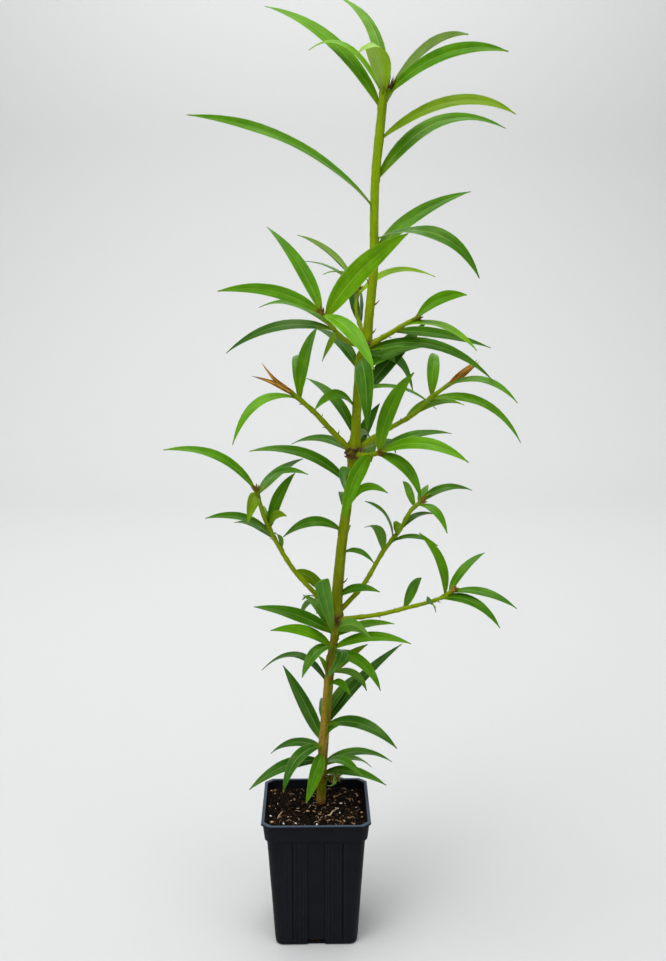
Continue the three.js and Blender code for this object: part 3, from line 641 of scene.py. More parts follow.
# ---------- grit, roots and fibres on the soil ----------
# The largest bits lie loose on top: white perlite, tan chips of bark, a pale root end in front of
# the stem, and short curled fibres all over. Each is pressed a little into the mix.
GRAIN_RINGS, GRAIN_SIDES, GRAIN_ROUGHNESS = 6, 8, 0.45
STRAND_SIDES, STRAND_TAPER = 6, 0.75


def lump(middle, long, wide, high, turn, seed):
    """A rough grain: a ball of a few rings, pushed in and out."""
    rings = []
    for k in range(GRAIN_RINGS):
        angle = math.pi * (k + 0.5) / GRAIN_RINGS
        ring = []
        for n in range(GRAIN_SIDES):
            around = 2 * math.pi * n / GRAIN_SIDES
            place = Vector((math.sin(angle) * math.cos(around), math.sin(angle) * math.sin(around),
                            -math.cos(angle)))
            place *= 1 + GRAIN_ROUGHNESS * noise.noise(place * 1.3 + Vector((seed * 4.1, 0, 0)))
            place = Vector((place.x * long / 2, place.y * wide / 2, place.z * high / 2))
            ring.append((Vector(middle) + Matrix.Rotation(turn, 3, "Z") @ place) * MM)
        rings.append(ring)
    return closed_skin(rings)


def strand(route, thickness):
    """A thin root or fibre through a route of points, tapering to both ends."""
    rings = []
    last = len(route) - 1
    for k, point in enumerate(route):
        ahead = (Vector(route[min(k + 1, last)]) - Vector(route[max(k - 1, 0)])).normalized()
        side = Vector((-ahead.y, ahead.x, 0)).normalized()
        over = ahead.cross(side)
        half = thickness / 2 * (1 - STRAND_TAPER * abs(2 * k / last - 1) ** 2)
        ring = []
        for n in range(STRAND_SIDES):
            angle = 2 * math.pi * n / STRAND_SIDES
            out = side * (half * math.cos(angle)) + over * (half * math.sin(angle))
            ring.append((Vector(point) + out) * MM)
        rings.append(ring)
    return closed_skin(rings)


def join_parts(parts):
    """Points and faces of many closed parts as one list of each."""
    points, faces = [], []
    for part_points, part_faces in parts:
        base = len(points)
        points += part_points
        faces += [tuple(base + i for i in face) for face in part_faces]
    return points, faces


def lying(places):
    """Rough grains at places of (right, back, long, wide, turn in degrees), pressed into the soil."""
    grains = []
    for n, (x, y, long, wide, turn) in enumerate(places):
        middle = (x, y, soil_height(x, y) + 0.3 + 0.25 * wide)
        grains.append(lump(middle, long, wide, 0.8 * wide, math.radians(turn), n))
    return join_parts(grains)


WHITE_GRAINS = ((24.8, 11.0, 3.6, 2.6, 20), (-36.6, 14.7, 2.2, 1.8, 0), (0.8, -30.7, 2.6, 2.0, 60),
                (-19.1, -30.4, 2.2, 1.8, 30), (-30.5, -30.2, 2.4, 1.8, 100),
                (-43.3, -12.8, 2.3, 2.0, 0), (21.1, -0.9, 1.8, 1.4, 40))
TAN_CHIPS = ((-43.9, 38.3, 3.0, 1.6, 20), (-40.7, 32.3, 2.4, 1.6, 70), (-45.0, 6.4, 3.2, 1.8, 100),
             (-24.2, -14.6, 2.4, 1.8, 10), (-23.5, 18.1, 3.2, 1.4, 150),
             (-17.5, 1.3, 3.4, 1.8, 30), (-15.8, 27.2, 2.2, 1.4, 60), (-7.2, -3.3, 5.0, 1.5, 160),
             (-2.0, -6.4, 4.0, 1.6, 140), (3.8, -10.6, 3.2, 1.6, 120), (11.6, 8.3, 4.2, 1.5, 60),
             (18.1, 25.1, 2.4, 1.5, 0), (36.5, 41.0, 3.0, 2.0, 30), (40.8, 27.8, 3.6, 2.0, 80),
             (42.1, 13.7, 4.4, 2.0, 75), (44.0, -7.1, 3.0, 2.0, 20), (43.6, -18.4, 3.4, 2.0, 60),
             (30.9, -18.4, 3.0, 1.8, 0), (26.6, -24.1, 3.4, 2.2, 130), (33.3, -27.0, 3.6, 2.0, 20),
             (35.8, -31.3, 3.0, 2.2, 60), (-41.5, -26.8, 3.2, 2.0, 10), (3.7, -22.3, 3.6, 1.8, 45),
             (11.8, -23.8, 4.6, 1.8, 10), (21.9, -25.4, 4.2, 2.4, 170),
             (-34.0, -22.0, 3.6, 1.9, 30), (29.1, 36.0, 3.0, 1.5, 20), (33.5, 19.2, 3.2, 1.6, 110))
for name, places, finish in (("large_perlite", WHITE_GRAINS, perlite),
                             ("large_chips", TAN_CHIPS, pale_chip)):
    grains = new_piece(name, *lying(places), finish, smooth_below=40)
    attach(grains, "root")

root_skin = grained_finish(
    "root_skin", [(0.35, paint(150, 116, 84)), (0.65, paint(226, 200, 168))], (0.7, 0.9),
    clouds=200, specks=1500, bump=0.4, bump_depth=0.2, gloss=0.1)
# each root end's route over the soil, and how thick it is
ROOT_ENDS = (
    (((8.5, -19.6), (11.0, -16.0), (13.6, -12.6), (15.6, -8.4), (18.0, -5.6), (21.1, -0.9)), 1.5),
    (((-37.0, -19.0), (-35.6, -14.0), (-33.0, -9.0), (-31.8, -3.8)), 0.9))
FIBRES, FIBRE_STEPS, FIBRE_STEP = 46, 5, 1.1
FIBRE_REACH, CLEAR_OF_TRUNK = 44, 7
strands = []
for route, thickness in ROOT_ENDS:
    strands.append(strand([(x, y, soil_height(x, y) + 1.3) for x, y in route], thickness))
luck = random.Random(11)
for _ in range(FIBRES):
    x, y = luck.uniform(-FIBRE_REACH, FIBRE_REACH), luck.uniform(-FIBRE_REACH, FIBRE_REACH)
    turn = luck.uniform(0, math.tau)
    route = []
    for k in range(FIBRE_STEPS + 1):
        arch = 0.7 + 0.8 * math.sin(math.pi * k / FIBRE_STEPS)
        route.append((x, y, soil_height(x, y) + arch))
        turn += luck.uniform(-0.5, 0.5)
        x, y = x + FIBRE_STEP * math.cos(turn), y + FIBRE_STEP * math.sin(turn)
    if max(abs(x), abs(y)) < FIBRE_REACH and math.dist((x, y), TRUNK_FOOT) > CLEAR_OF_TRUNK:
        strands.append(strand(route, luck.uniform(0.25, 0.5)))
roots = new_piece("roots_and_fibres", *join_parts(strands), root_skin, smooth_below=60)
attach(roots, "root")


# ---------- trunk ----------
# One slim green stem, still soft near its tip and tan and corky at its foot. It thins through each
# year's growth and swells to a brown scaly ring at each of its three whorls of boughs.
# Ridges run down it from the feet of its leaves, and old bud scales stand out as small spurs.
TRUNK = [
    (SOIL_LEVEL + 0.3, 4.7, 15, 4.6), (150, 6, 13, 4.6), (184, 7.5, 11, 5), (239, 12, 8, 4.6),
    (274, 15.5, 6, 4.1), (300, 19.5, 5, 3.9), (311, 20.8, 5, 5.2), (331, 20.4, 4, 5.4),
    (367, 23.2, 3, 5.1), (397, 26.5, 2, 4.8), (455, 34, 0, 4.7), (468, 35.5, 0, 6.4),
    (484, 37, 0, 4.8), (530, 39, 0, 3.9), (553, 40, 0, 3.4), (565, 46, 0, 4.6),
    (590, 48.5, 0, 4.4), (634, 52.5, 0, 4.2), (675, 52.8, 0, 4), (708, 53.5, 0, 4),
    (746, 56.8, 0, 4.2), (778, 60, 0, 3.8), (786, 61.5, 0, 3.4),
]
TRUNK_SLIMMING = 0.2
WHORLS = ((308, 7, 0.9), (466, 6.5, 1.1), (565, 5, 0.75))    # height, spread and how brown
trunk_knots = [row[0] for row in TRUNK]
trunk_rows = [row[1:] for row in TRUNK]


def smooth_at(knots, rows, t):
    """A smooth line through rows of numbers, read at t. Each row's own t is its knot."""
    last = len(rows) - 1
    i = 0
    while i < last - 1 and t > knots[i + 1]:
        i += 1
    span = knots[i + 1] - knots[i]
    s = (t - knots[i]) / span
    before, after = max(i - 1, 0), min(i + 2, last)
    result = []
    for c in range(len(rows[0])):
        p, q = rows[i][c], rows[i + 1][c]
        m = (q - rows[before][c]) / (knots[i + 1] - knots[before]) * span
        n = (rows[after][c] - p) / (knots[after] - knots[i]) * span
        result.append(p + m * s + (3 * (q - p) - 2 * m - n) * s * s + (2 * (p - q) + m + n) * s ** 3)
    return result


def trunk_at(height):
    """The middle of the stem at a height, and its radius there."""
    x, y, radius = smooth_at(trunk_knots, trunk_rows, height)
    return Vector((x, y, height)), radius - TRUNK_SLIMMING


def whorl_at(height):
    """How much of a whorl's brown scaly ring is at this height."""
    return max(brown * math.exp(-((height - middle) / spread) ** 2) for middle, spread, brown in WHORLS)


# from young green wood to old tan wood
BARK_COLOURS = ((0.0, paint(122, 150, 0)), (0.35, paint(119, 135, 0)), (0.62, paint(114, 123, 2)),
                (0.74, paint(104, 106, 6)), (0.88, paint(124, 110, 26)), (1.0, paint(150, 122, 46)))
bark, bark_tree, bark_shader = bare_finish("green_bark", {
    "Roughness": 0.5, "Specular IOR Level": 0.2, "Specular Tint": (1.0, 1.0, 0.4, 1)})
bark_age = put(bark_tree, "ShaderNodeAttribute", attribute_name="age")
bark_brown = put(bark_tree, "ShaderNodeAttribute", attribute_name="brown")
bark_place = put(bark_tree, "ShaderNodeTexCoord")
bark_stretch = put(bark_tree, "ShaderNodeMapping", {"Scale": (1, 1, 0.3)})
bark_grain = put(bark_tree, "ShaderNodeGroup", node_tree=grain)
fill_in(bark_grain, {"Cloud Scale": 220, "Speck Scale": 1300, "Speck Share": 0.45})
bark_ramp = colour_ramp(bark_tree, BARK_COLOURS)
bark_shade = rescale(bark_tree, 0.3, 0.7, 0.72, 1.22)
bark_streaked = put(bark_tree, "ShaderNodeVectorMath", operation="SCALE")
bark_scale = mix_colours(bark_tree, B=paint(104, 70, 36))
bark_edge = maths(bark_tree, "ADD")
bark_speckle = maths(bark_tree, "MULTIPLY_ADD", {1: 1.6, 2: -0.8})
bark_dots = put(bark_tree, "ShaderNodeTexVoronoi", {"Scale": 360})
bark_dot = rescale(bark_tree, 0.12, 0.32, 0.8, 0, smooth=True)
bark_corky = rescale(bark_tree, 0.55, 0.85, 0, 1, smooth=True)
bark_pitted = maths(bark_tree, "MULTIPLY")
bark_pores = mix_colours(bark_tree, B=paint(56, 42, 14))
bark_mask = maths(bark_tree, "MULTIPLY", use_clamp=True)
bark_relief = put(bark_tree, "ShaderNodeBump", {"Strength": 0.6, "Distance": 0.25 * MM})
wire(
    bark_tree,
    (bark_place, "Object", bark_stretch, "Vector"),
    (bark_stretch, "Vector", bark_grain, "Place"),
    (bark_age, "Fac", bark_ramp, "Fac"),
    (bark_grain, "Shade", bark_shade, "Value"),
    (bark_ramp, "Color", bark_streaked, 0),
    (bark_shade, "Result", bark_streaked, "Scale"),
    (bark_grain, "Shade", bark_speckle, 0),
    (bark_brown, "Fac", bark_edge, 0),
    (bark_speckle, "Value", bark_edge, 1),
    (bark_edge, "Value", bark_mask, 0),
    (bark_brown, "Fac", bark_mask, 1),
    (bark_mask, "Value", bark_scale, "Factor"),
    (bark_streaked, "Vector", bark_scale, "A"),
    (bark_place, "Object", bark_dots, "Vector"),
    (bark_dots, "Distance", bark_dot, "Value"),
    (bark_age, "Fac", bark_corky, "Value"),
    (bark_dot, "Result", bark_pitted, 0),
    (bark_corky, "Result", bark_pitted, 1),
    (bark_pitted, "Value", bark_pores, "Factor"),
    (bark_scale, "Result", bark_pores, "A"),
    (bark_pores, "Result", bark_shader, "Base Color"),
    (bark_grain, "Height", bark_relief, "Height"),
    (bark_relief, "Normal", bark_shader, "Normal"))


def mark_vertices(piece, **values):
    """Keeps a number for each vertex of a piece under a name that its finish reads."""
    for name, numbers in values.items():
        kept = piece.data.attributes.new(name, "FLOAT", "POINT")
        kept.data.foreach_set("value", numbers)


# round scars where old leaves fell, from foot to top: height, way round the stem and width
SCAR_COUNT, LOWEST_SCAR, SCAR_STEP, SCAR_TURN = 56, 133, 8.3, math.radians(137.5)
SCARS = [(LOWEST_SCAR + SCAR_STEP * n + 3 * math.sin(5.3 * n), SCAR_TURN * n,
          1.0 + 0.35 * math.sin(2.9 * n)) for n in range(SCAR_COUNT)]


def scar_at(height, angle, radius):
    """How much of a leaf scar is at this place on the trunk."""
    most = 0.0
    for middle, turn, width in SCARS:
        if abs(height - middle) < 4:
            off = math.remainder(angle - turn, 2 * math.pi) * radius
            distance = ((height - middle) / width) ** 2 + (off / (1.2 * width)) ** 2
            most = max(most, math.exp(-distance))
    return most


TRUNK_SIDES, TRUNK_STEP = 40, 1.2
# the relief of the bark: ridges (how high, how many round the stem and how long their wind is),
# knobs and cork (how high, how fine round the stem and how long)
RIDGES = ((0.16, 5, 31), (0.1, 8, -17))
KNOBS, CORK = (0.25, 1.6, 5.5), (0.22, 4, 2)
WHORL_KNOB_HEIGHT, SCAR_HEIGHT = 1.5, 0.3
FLARE_HEIGHT, FLARE_SPREAD = 0.35, 5
GREEN_FROM, AGEING = 700, 560       # the bark is young from this height up and oldest so far below it
# low down it is greener again: how much, at what height and how far
GREEN_FOOT, GREEN_FOOT_HEIGHT, GREEN_FOOT_SPREAD = 0.25, 137, 9
# its left side is corkier: how much, from what height down, and over what height that fades
CORKY_SIDE, CORKY_HEIGHT, CORKY_FADE = 0.16, 320, 60


def roughness_at(around, height, fine, long):
    """An uneven number from -1 to 1 over the stem's surface."""
    return noise.noise((around[0] * fine, around[1] * fine, height / long))


def within(value):
    """A share kept between 0 and 1."""
    return min(1.0, max(0.0, value))


trunk_rings, trunk_age, trunk_brown = [], [], []
trunk_from, trunk_to = SOIL_LEVEL - 1.5, TRUNK[-1][0]
trunk_steps = round((trunk_to - trunk_from) / TRUNK_STEP)
for step in range(trunk_steps + 1):
    height = trunk_from + (trunk_to - trunk_from) * step / trunk_steps
    middle, radius = trunk_at(max(height, TRUNK[0][0]))
    middle.z = height
    whorl = whorl_at(height)
    foot = math.exp(-((height - SOIL_LEVEL) / FLARE_SPREAD) ** 2)
    greener = GREEN_FOOT * math.exp(-((height - GREEN_FOOT_HEIGHT) / GREEN_FOOT_SPREAD) ** 2)
    age = within((GREEN_FROM - height) / AGEING) - greener
    corky = CORKY_SIDE * within((CORKY_HEIGHT - height) / CORKY_FADE)
    ring = []
    for k in range(TRUNK_SIDES):
        angle = 2 * math.pi * k / TRUNK_SIDES
        around = (math.cos(angle), math.sin(angle))
        ridge = sum(high * math.cos(count * angle + height / wind) for high, count, wind in RIDGES)
        knobs = roughness_at(around, height, *KNOBS[1:]) * (KNOBS[0] + WHORL_KNOB_HEIGHT * whorl)
        cork = roughness_at(around, height, *CORK[1:]) * CORK[0] * age
        scar = scar_at(height, angle, radius)
        out = radius + FLARE_HEIGHT * foot + ridge * (1 - whorl) + knobs + cork + SCAR_HEIGHT * scar
        ring.append(((middle.x + out * around[0]) * MM, (middle.y + out * around[1]) * MM, height * MM))
        shade = 0.2 * roughness_at(around, height, 1, 30)
        trunk_age.append(within(age + corky * max(0.0, -around[0]) + shade))
        scaly = 0.5 + roughness_at(around, height, 2.5, 4)
        trunk_brown.append(within(whorl * (0.6 + scaly) + 0.85 * scar + foot))
    trunk_rings.append(ring)
trunk = new_piece("trunk_bark", *closed_skin(trunk_rings), bark, smooth_below=60)
mark_vertices(trunk, age=trunk_age, brown=trunk_brown)
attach(trunk, "root")
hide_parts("trunk")


# ---------- boughs ----------
# Short side shoots leave the trunk at its three whorls and turn up. Each is one tapering green limb
# with low nodes where its leaves sit. It grows out of the trunk's brown ring and ends in a bud.
# A bough's route runs from the trunk's axis to its bud. It is bare up to a share of its length, and
# has one radius at its foot and one where its leaves begin.
BOUGHS = {
    "upper_left": dict(route=[(44, 0, 563), (28, -18, 569), (18, -32, 578), (5, -50, 595)],
                       bare=0.42, radius=(2.7, 2.1)),
    "upper_right": dict(route=[(46, 0, 562), (67, -6, 575), (80, -10, 583), (91, -14, 589)],
                        bare=0.5, radius=(2.7, 2.1)),
    "upper_back": dict(route=[(46, 0, 569), (39, 14, 588), (38, 20, 602), (40, 26, 615)],
                       bare=0.28, radius=(2.2, 1.8)),
    "middle_left": dict(route=[(35, 0, 466), (14, -8, 489), (0, -14, 505), (-22, -24, 525)],
                        bare=0.78, radius=(2.8, 2.2)),
    "middle_right": dict(route=[(35, 0, 468), (63, 8, 485), (91, 16, 500), (108, 22, 515),
                                (127, 28, 528)],
                         bare=0.42, radius=(2.8, 2.2)),
    "middle_front": dict(route=[(36, 0, 465), (46, -20, 467), (57, -38, 472)],
                         bare=0.5, radius=(2.6, 2.2)),
    "middle_back": dict(route=[(36, 0, 468), (46, 18, 470), (60, 40, 472)],
                        bare=0.5, radius=(2.4, 2)),
    "lower_left": dict(route=[(20, 3, 312), (-1, -8, 337), (-20, -14, 361), (-32, -18, 382),
                              (-44, -23, 407), (-53, -30, 439)],
                       bare=0.28, radius=(2.6, 2.2)),
    "lower_right": dict(route=[(21, 4, 314), (45, 8, 340), (64, 14, 371), (80, 18, 391),
                               (89, 20, 407), (101, 22, 418)],
                        bare=0.48, radius=(2.4, 2.1)),
    "lowest_right": dict(route=[(21, 3, 308), (56, -10, 316), (79, -18, 324), (112, -30, 337),
                                (125, -35, 347)],
                         bare=0.48, radius=(2.3, 1.9)),
    "lower_back": dict(route=[(20, 5, 311), (15, 26, 313), (9, 47, 314)],
                       bare=0.45, radius=(2.3, 1.9)),
}
TWIG_THINNING = 0.15
HEADING_STEP = 0.01


class LimbPath:
    """The smooth path of a bough or twig through its route of points."""

    def __init__(self, route):
        self.route = route
        self.knots = [0.0]
        for here, there in zip(route, route[1:]):
            self.knots.append(self.knots[-1] + math.dist(here, there))
        self.length = self.knots[-1]

    def at(self, share):
        """The place at a share of its length."""
        return Vector(smooth_at(self.knots, self.route, share * self.length))

    def heading(self, share):
        """Which way it runs there."""
        return (self.at(share + HEADING_STEP) - self.at(share - HEADING_STEP)).normalized()


LIMB_SIDES, LIMB_STEP = 16, 1.8
NODE_SWELLING, NODE_SPREAD = 0.35, 1.8
LIMB_RIDGE, LIMB_KNOB = 0.12, 0.22


def limb_rings(path, radius_at, nodes=()):
    """Rings of points along a limb, with a low swelling at each node."""
    steps = max(6, round(path.length / LIMB_STEP))
    rings = []
    for k in range(steps + 1):
        share = k / steps
        ahead = path.heading(share)
        side = Vector((-ahead.y, ahead.x, 0)).normalized()
        over = ahead.cross(side)
        middle = path.at(share)
        swelling = sum(NODE_SWELLING * math.exp(-((share - node) * path.length / NODE_SPREAD) ** 2)
                       for node in nodes)
        ring = []
        for n in range(LIMB_SIDES):
            angle = 2 * math.pi * n / LIMB_SIDES
            around = (math.cos(angle), math.sin(angle))
            ridge = LIMB_RIDGE * math.cos(3 * angle + share * 9)
            knobs = LIMB_KNOB * roughness_at(around, share * path.length, 1.5, 4)
            out = radius_at(share) + ridge + knobs + swelling
            ring.append((middle + side * (out * math.cos(angle)) + over * (out * math.sin(angle))) * MM)
        rings.append(ring)
    return rings


# shares of a bough's length where its leaves sit
BOUGH_NODES = [0.2 + 0.78 * n / 5 for n in range(6)]
limb_parts, limb_age, limb_brown = [], [], []
bough_paths = {}
for name, bough in BOUGHS.items():
    path = LimbPath(bough["route"])
    bough_paths[name] = path
    foot_radius, bare_radius = bough["radius"]
    bare = bough["bare"]

    def radius_at(share):
        if share < bare:
            return foot_radius + (bare_radius - foot_radius) * share / bare
        return bare_radius * (1 - TWIG_THINNING * (share - bare) / (1 - bare))

    rings = limb_rings(path, radius_at, BOUGH_NODES)
    limb_parts.append(closed_skin(rings))
    steps = len(rings) - 1
    for k in range(steps + 1):
        share = k / steps
        near_foot = math.exp(-(share * path.length / 9) ** 2)
        near_node = max(math.exp(-((share - node) * path.length / 1.4) ** 2) for node in BOUGH_NODES)
        near_end = math.exp(-((1 - share) * path.length / 5) ** 2)
        limb_age += [0.1 + 0.2 * (1 - share)] * LIMB_SIDES
        limb_brown += [within(0.75 * near_foot + 0.15 * near_node + 0.7 * near_end)] * LIMB_SIDES
boughs = new_piece("boughs_bark", *join_parts(limb_parts), bark, smooth_below=60)
mark_vertices(boughs, age=limb_age, brown=limb_brown)
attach(boughs, "root")
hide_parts(*[f"bough_{name}" for name in BOUGHS])


# ---------- buds and bud scales ----------
# Each shoot ends in a bud wrapped in pointed brown scales. Old scales stay on as rough brown
# collars round the trunk's whorls and as lone dry spurs along the stem and the boughs.
# They grow out of the bark, and are dry and papery.
def kept_value(tree, name, kind):
    """A node that reads what a piece's points keep under a name."""
    return put(tree, "GeometryNodeInputNamedAttribute", {"Name": name}, data_type=kind)


GOLDEN_TURN = 2.39996           # from one scale to the next round a shoot, as leaves grow
scale_recipe, scale_in, scale_out = new_recipe(
    "bud_scales", (("Scales", WHOLE), ("Opening", FLOAT), ("Closing", FLOAT), ("Length", FLOAT),
                   ("Width", FLOAT), ("Core", FLOAT), ("Seed", WHOLE)), ("Husk",))
scale_curve = put(scale_recipe, "GeometryNodeCurveQuadraticBezier", {
    "Resolution": 5, "Start": (0, 0, 0), "Middle": (0.16, 0, 0.5), "End": (0, 0, 1)})
scale_along = put(scale_recipe, "GeometryNodeSplineParameter")
scale_left = maths(scale_recipe, "SUBTRACT", {0: 1.02})
scale_swell = maths(scale_recipe, "POWER", {1: 0.75})
scale_round = put(scale_recipe, "GeometryNodeCurvePrimitiveCircle", {"Resolution": 5})
scale_body = put(scale_recipe, "GeometryNodeCurveToMesh", {"Fill Caps": True})
scale_thick = maths(scale_recipe, "MULTIPLY", {1: 0.5})
scale_ratio = maths(scale_recipe, "DIVIDE")
scale_radius = maths(scale_recipe, "MULTIPLY")
scale_places = put(scale_recipe, "GeometryNodePoints")
scale_index = put(scale_recipe, "GeometryNodeInputIndex")
scale_share = maths(scale_recipe, "DIVIDE")
scale_angle = maths(scale_recipe, "MULTIPLY", {1: GOLDEN_TURN})
scale_lean = put(scale_recipe, "ShaderNodeMapRange")
scale_turn = put(scale_recipe, "ShaderNodeCombineXYZ")
scale_drop = rescale(scale_recipe, 0, 1, 1.0, 0.25)
scale_out_by = maths(scale_recipe, "MULTIPLY")
scale_cos = maths(scale_recipe, "COSINE")
scale_sin = maths(scale_recipe, "SINE")
scale_x = maths(scale_recipe, "MULTIPLY")
scale_y = maths(scale_recipe, "MULTIPLY")
scale_z = maths(scale_recipe, "MULTIPLY")
scale_foot = put(scale_recipe, "ShaderNodeCombineXYZ")
scale_set = put(scale_recipe, "GeometryNodeSetPosition")
scale_size = put(scale_recipe, "FunctionNodeRandomValue", {2: 0.75, 3: 1.2}, data_type="FLOAT")
scale_long = maths(scale_recipe, "MULTIPLY")
scale_tuft = put(scale_recipe, "GeometryNodeInstanceOnPoints")
scale_axis = kept_value(scale_recipe, "axis", "FLOAT_VECTOR")
scale_big = kept_value(scale_recipe, "size", "FLOAT")
scale_align = put(scale_recipe, "FunctionNodeAlignRotationToVector", axis="Z")
scale_buds = put(scale_recipe, "GeometryNodeInstanceOnPoints")
scale_real = put(scale_recipe, "GeometryNodeRealizeInstances")
scale_husk = put(scale_recipe, "GeometryNodeSetMaterial")
wire(
    scale_recipe,
    (scale_in, "Length", scale_ratio, 1),
    (scale_in, "Width", scale_thick, 0),
    (scale_thick, "Value", scale_ratio, 0),
    (scale_along, "Factor", scale_left, 1),
    (scale_left, "Value", scale_swell, 0),
    (scale_swell, "Value", scale_radius, 0),
    (scale_ratio, "Value", scale_radius, 1),
    (scale_curve, "Curve", scale_body, "Curve"),
    (scale_radius, "Value", scale_body, "Scale"),
    (scale_round, "Curve", scale_body, "Profile Curve"),
    (scale_in, "Scales", scale_places, "Count"),
    (scale_index, "Index", scale_share, 0),
    (scale_in, "Scales", scale_share, 1),
    (scale_index, "Index", scale_angle, 0),
    (scale_share, "Value", scale_lean, "Value"),
    (scale_in, "Opening", scale_lean, "To Min"),
    (scale_in, "Closing", scale_lean, "To Max"),
    (scale_lean, "Result", scale_turn, "Y"),
    (scale_angle, "Value", scale_turn, "Z"),
    (scale_share, "Value", scale_drop, "Value"),
    (scale_drop, "Result", scale_out_by, 0),
    (scale_in, "Core", scale_out_by, 1),
    (scale_angle, "Value", scale_cos, 0),
    (scale_angle, "Value", scale_sin, 0),
    (scale_cos, "Value", scale_x, 0),
    (scale_out_by, "Value", scale_x, 1),
    (scale_sin, "Value", scale_y, 0),
    (scale_out_by, "Value", scale_y, 1),
    (scale_share, "Value", scale_z, 0),
    (scale_in, "Core", scale_z, 1),
    (scale_x, "Value", scale_foot, "X"),
    (scale_y, "Value", scale_foot, "Y"),
    (scale_z, "Value", scale_foot, "Z"),
    (scale_places, "Points", scale_set, "Geometry"),
    (scale_foot, "Vector", scale_set, "Position"),
    (scale_in, "Seed", scale_size, "Seed"),
    (scale_in, "Length", scale_long, 0),
    (scale_size, 1, scale_long, 1),
    (scale_long, "Value", scale_tuft, "Scale"),
    (scale_set, "Geometry", scale_tuft, "Points"),
    (scale_body, "Mesh", scale_tuft, "Instance"),
    (scale_turn, "Vector", scale_tuft, "Rotation"),
    (scale_axis, "Attribute", scale_align, "Vector"),
    (scale_in, "Geometry", scale_buds, "Points"),
    (scale_tuft, "Instances", scale_buds, "Instance"),
    (scale_align, "Rotation", scale_buds, "Rotation"),
    (scale_big, "Attribute", scale_buds, "Scale"),
    (scale_buds, "Instances", scale_real, "Geometry"),
    (scale_real, "Geometry", scale_husk, "Geometry"),
    (scale_in, "Husk", scale_husk, "Material"),
    (scale_husk, "Geometry", scale_out, "Geometry"))


def husk_finish(name, colours, shares=(0.36, 0.5, 0.64), roughness=(0.6, 0.85)):
    """A dry papery finish in three colours, spread by the shared grain."""
    return grained_finish(name, list(zip(shares, colours)), roughness, clouds=350, specks=1500,
                          speck_share=0.4, bump=0.5, bump_depth=0.12, gloss=0.1)


husk = husk_finish("bud_husk", (paint(76, 56, 14), paint(118, 92, 26), paint(160, 130, 54)))
old_husk = husk_finish("old_husk", (paint(52, 36, 20), paint(98, 72, 42), paint(142, 112, 76)),
                       shares=(0.34, 0.52, 0.68), roughness=(0.7, 0.9))
leader_husk = husk_finish("leader_husk", (paint(38, 30, 8), paint(70, 56, 16), paint(126, 98, 34)))


def scaly_piece(name, finish, places, **sizes):
    """Tufts of scales at places of (middle, axis, size), all of one make."""
    piece = new_piece(name, [Vector(middle) * MM for middle, _, _ in places], [])
    axes = piece.data.attributes.new("axis", "FLOAT_VECTOR", "POINT")
    axes.data.foreach_set("vector", [c for _, axis, _ in places for c in Vector(axis).normalized()])
    mark_vertices(piece, size=[size for _, _, size in places])
    follow_recipe(piece, scale_recipe, {
        "Scales": sizes["scales"], "Seed": sizes["seed"], "Husk": finish,
        "Opening": math.radians(sizes["opening"]), "Closing": math.radians(sizes["closing"]),
        "Length": sizes["length"] * MM, "Width": sizes["width"] * MM, "Core": sizes["core"] * MM})
    piece.data.shade_smooth()
    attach(piece, "root")


# the leader's bud is long and dark; each bough that still grows has a short brown one
scaly_piece("leader_bud", leader_husk, [((65.2, -4.4, 783), (0.34, -0.2, 1), 1.0)],
            scales=8, opening=14, closing=3, length=11.5, width=2.2, core=1.6, seed=6)
DEAD_BOUGHS = ("middle_left", "middle_right")
BUD_SINK, BUD_SIZE = 1.5, 0.95
bud_places = []
for name, path in bough_paths.items():
    if name not in DEAD_BOUGHS:
        bud_places.append((path.at(1) - path.heading(1) * BUD_SINK, path.heading(1), BUD_SIZE))
scaly_piece("bud_tufts", husk, bud_places,
            scales=13, opening=30, closing=4, length=5.0, width=2.3, core=1.4, seed=3)

# rings of old scales round the whorls: height, radius and how many
COLLARS = ((470, 7.4, 28), (466.5, 7.8, 30), (463, 7.0, 26), (310, 5.8, 20), (307, 5.8, 20),
           (303, 5.0, 12), (566, 5.2, 16), (562, 5.0, 12))
COLLAR_SINK = 0.9
collar_places = []
for height, ring_radius, count in COLLARS:
    for n in range(count):
        angle = GOLDEN_TURN * n + height
        middle, _ = trunk_at(height)
        out = Vector((math.cos(angle), math.sin(angle), 0))
        rise = 0.3 + 0.5 * math.sin(7.3 * n + height)
        collar_places.append((middle + out * (ring_radius - COLLAR_SINK), out + Vector((0, 0, rise)),
                              0.7 + 0.3 * math.cos(5.1 * n)))
scaly_piece("whorl_collars", old_husk, collar_places,
            scales=2, opening=26, closing=12, length=3.2, width=2.8, core=0.6, seed=9)

# lone spurs: a height on the trunk, the way it points round the stem, its rise and its length
TRUNK_SPURS = ((600, -20, 1.1, 6.2), (575, -10, 1.5, 5.6), (618, 200, 1.6, 6.0),
               (344, -18, 1.3, 6.5), (319, -50, 2.2, 6.5), (594, -60, 0.5, 2.5),
               (262, 200, 0.9, 2.6), (228, 30, 0.8, 2.6), (214, -150, 0.8, 2.4),
               (287, -30, 1.4, 3.6), (338, 215, 1.2, 2.8), (436, 180, 1.5, 3.0),
               (300, 210, 1.2, 3.0), (296, -70, 1.4, 3.4))
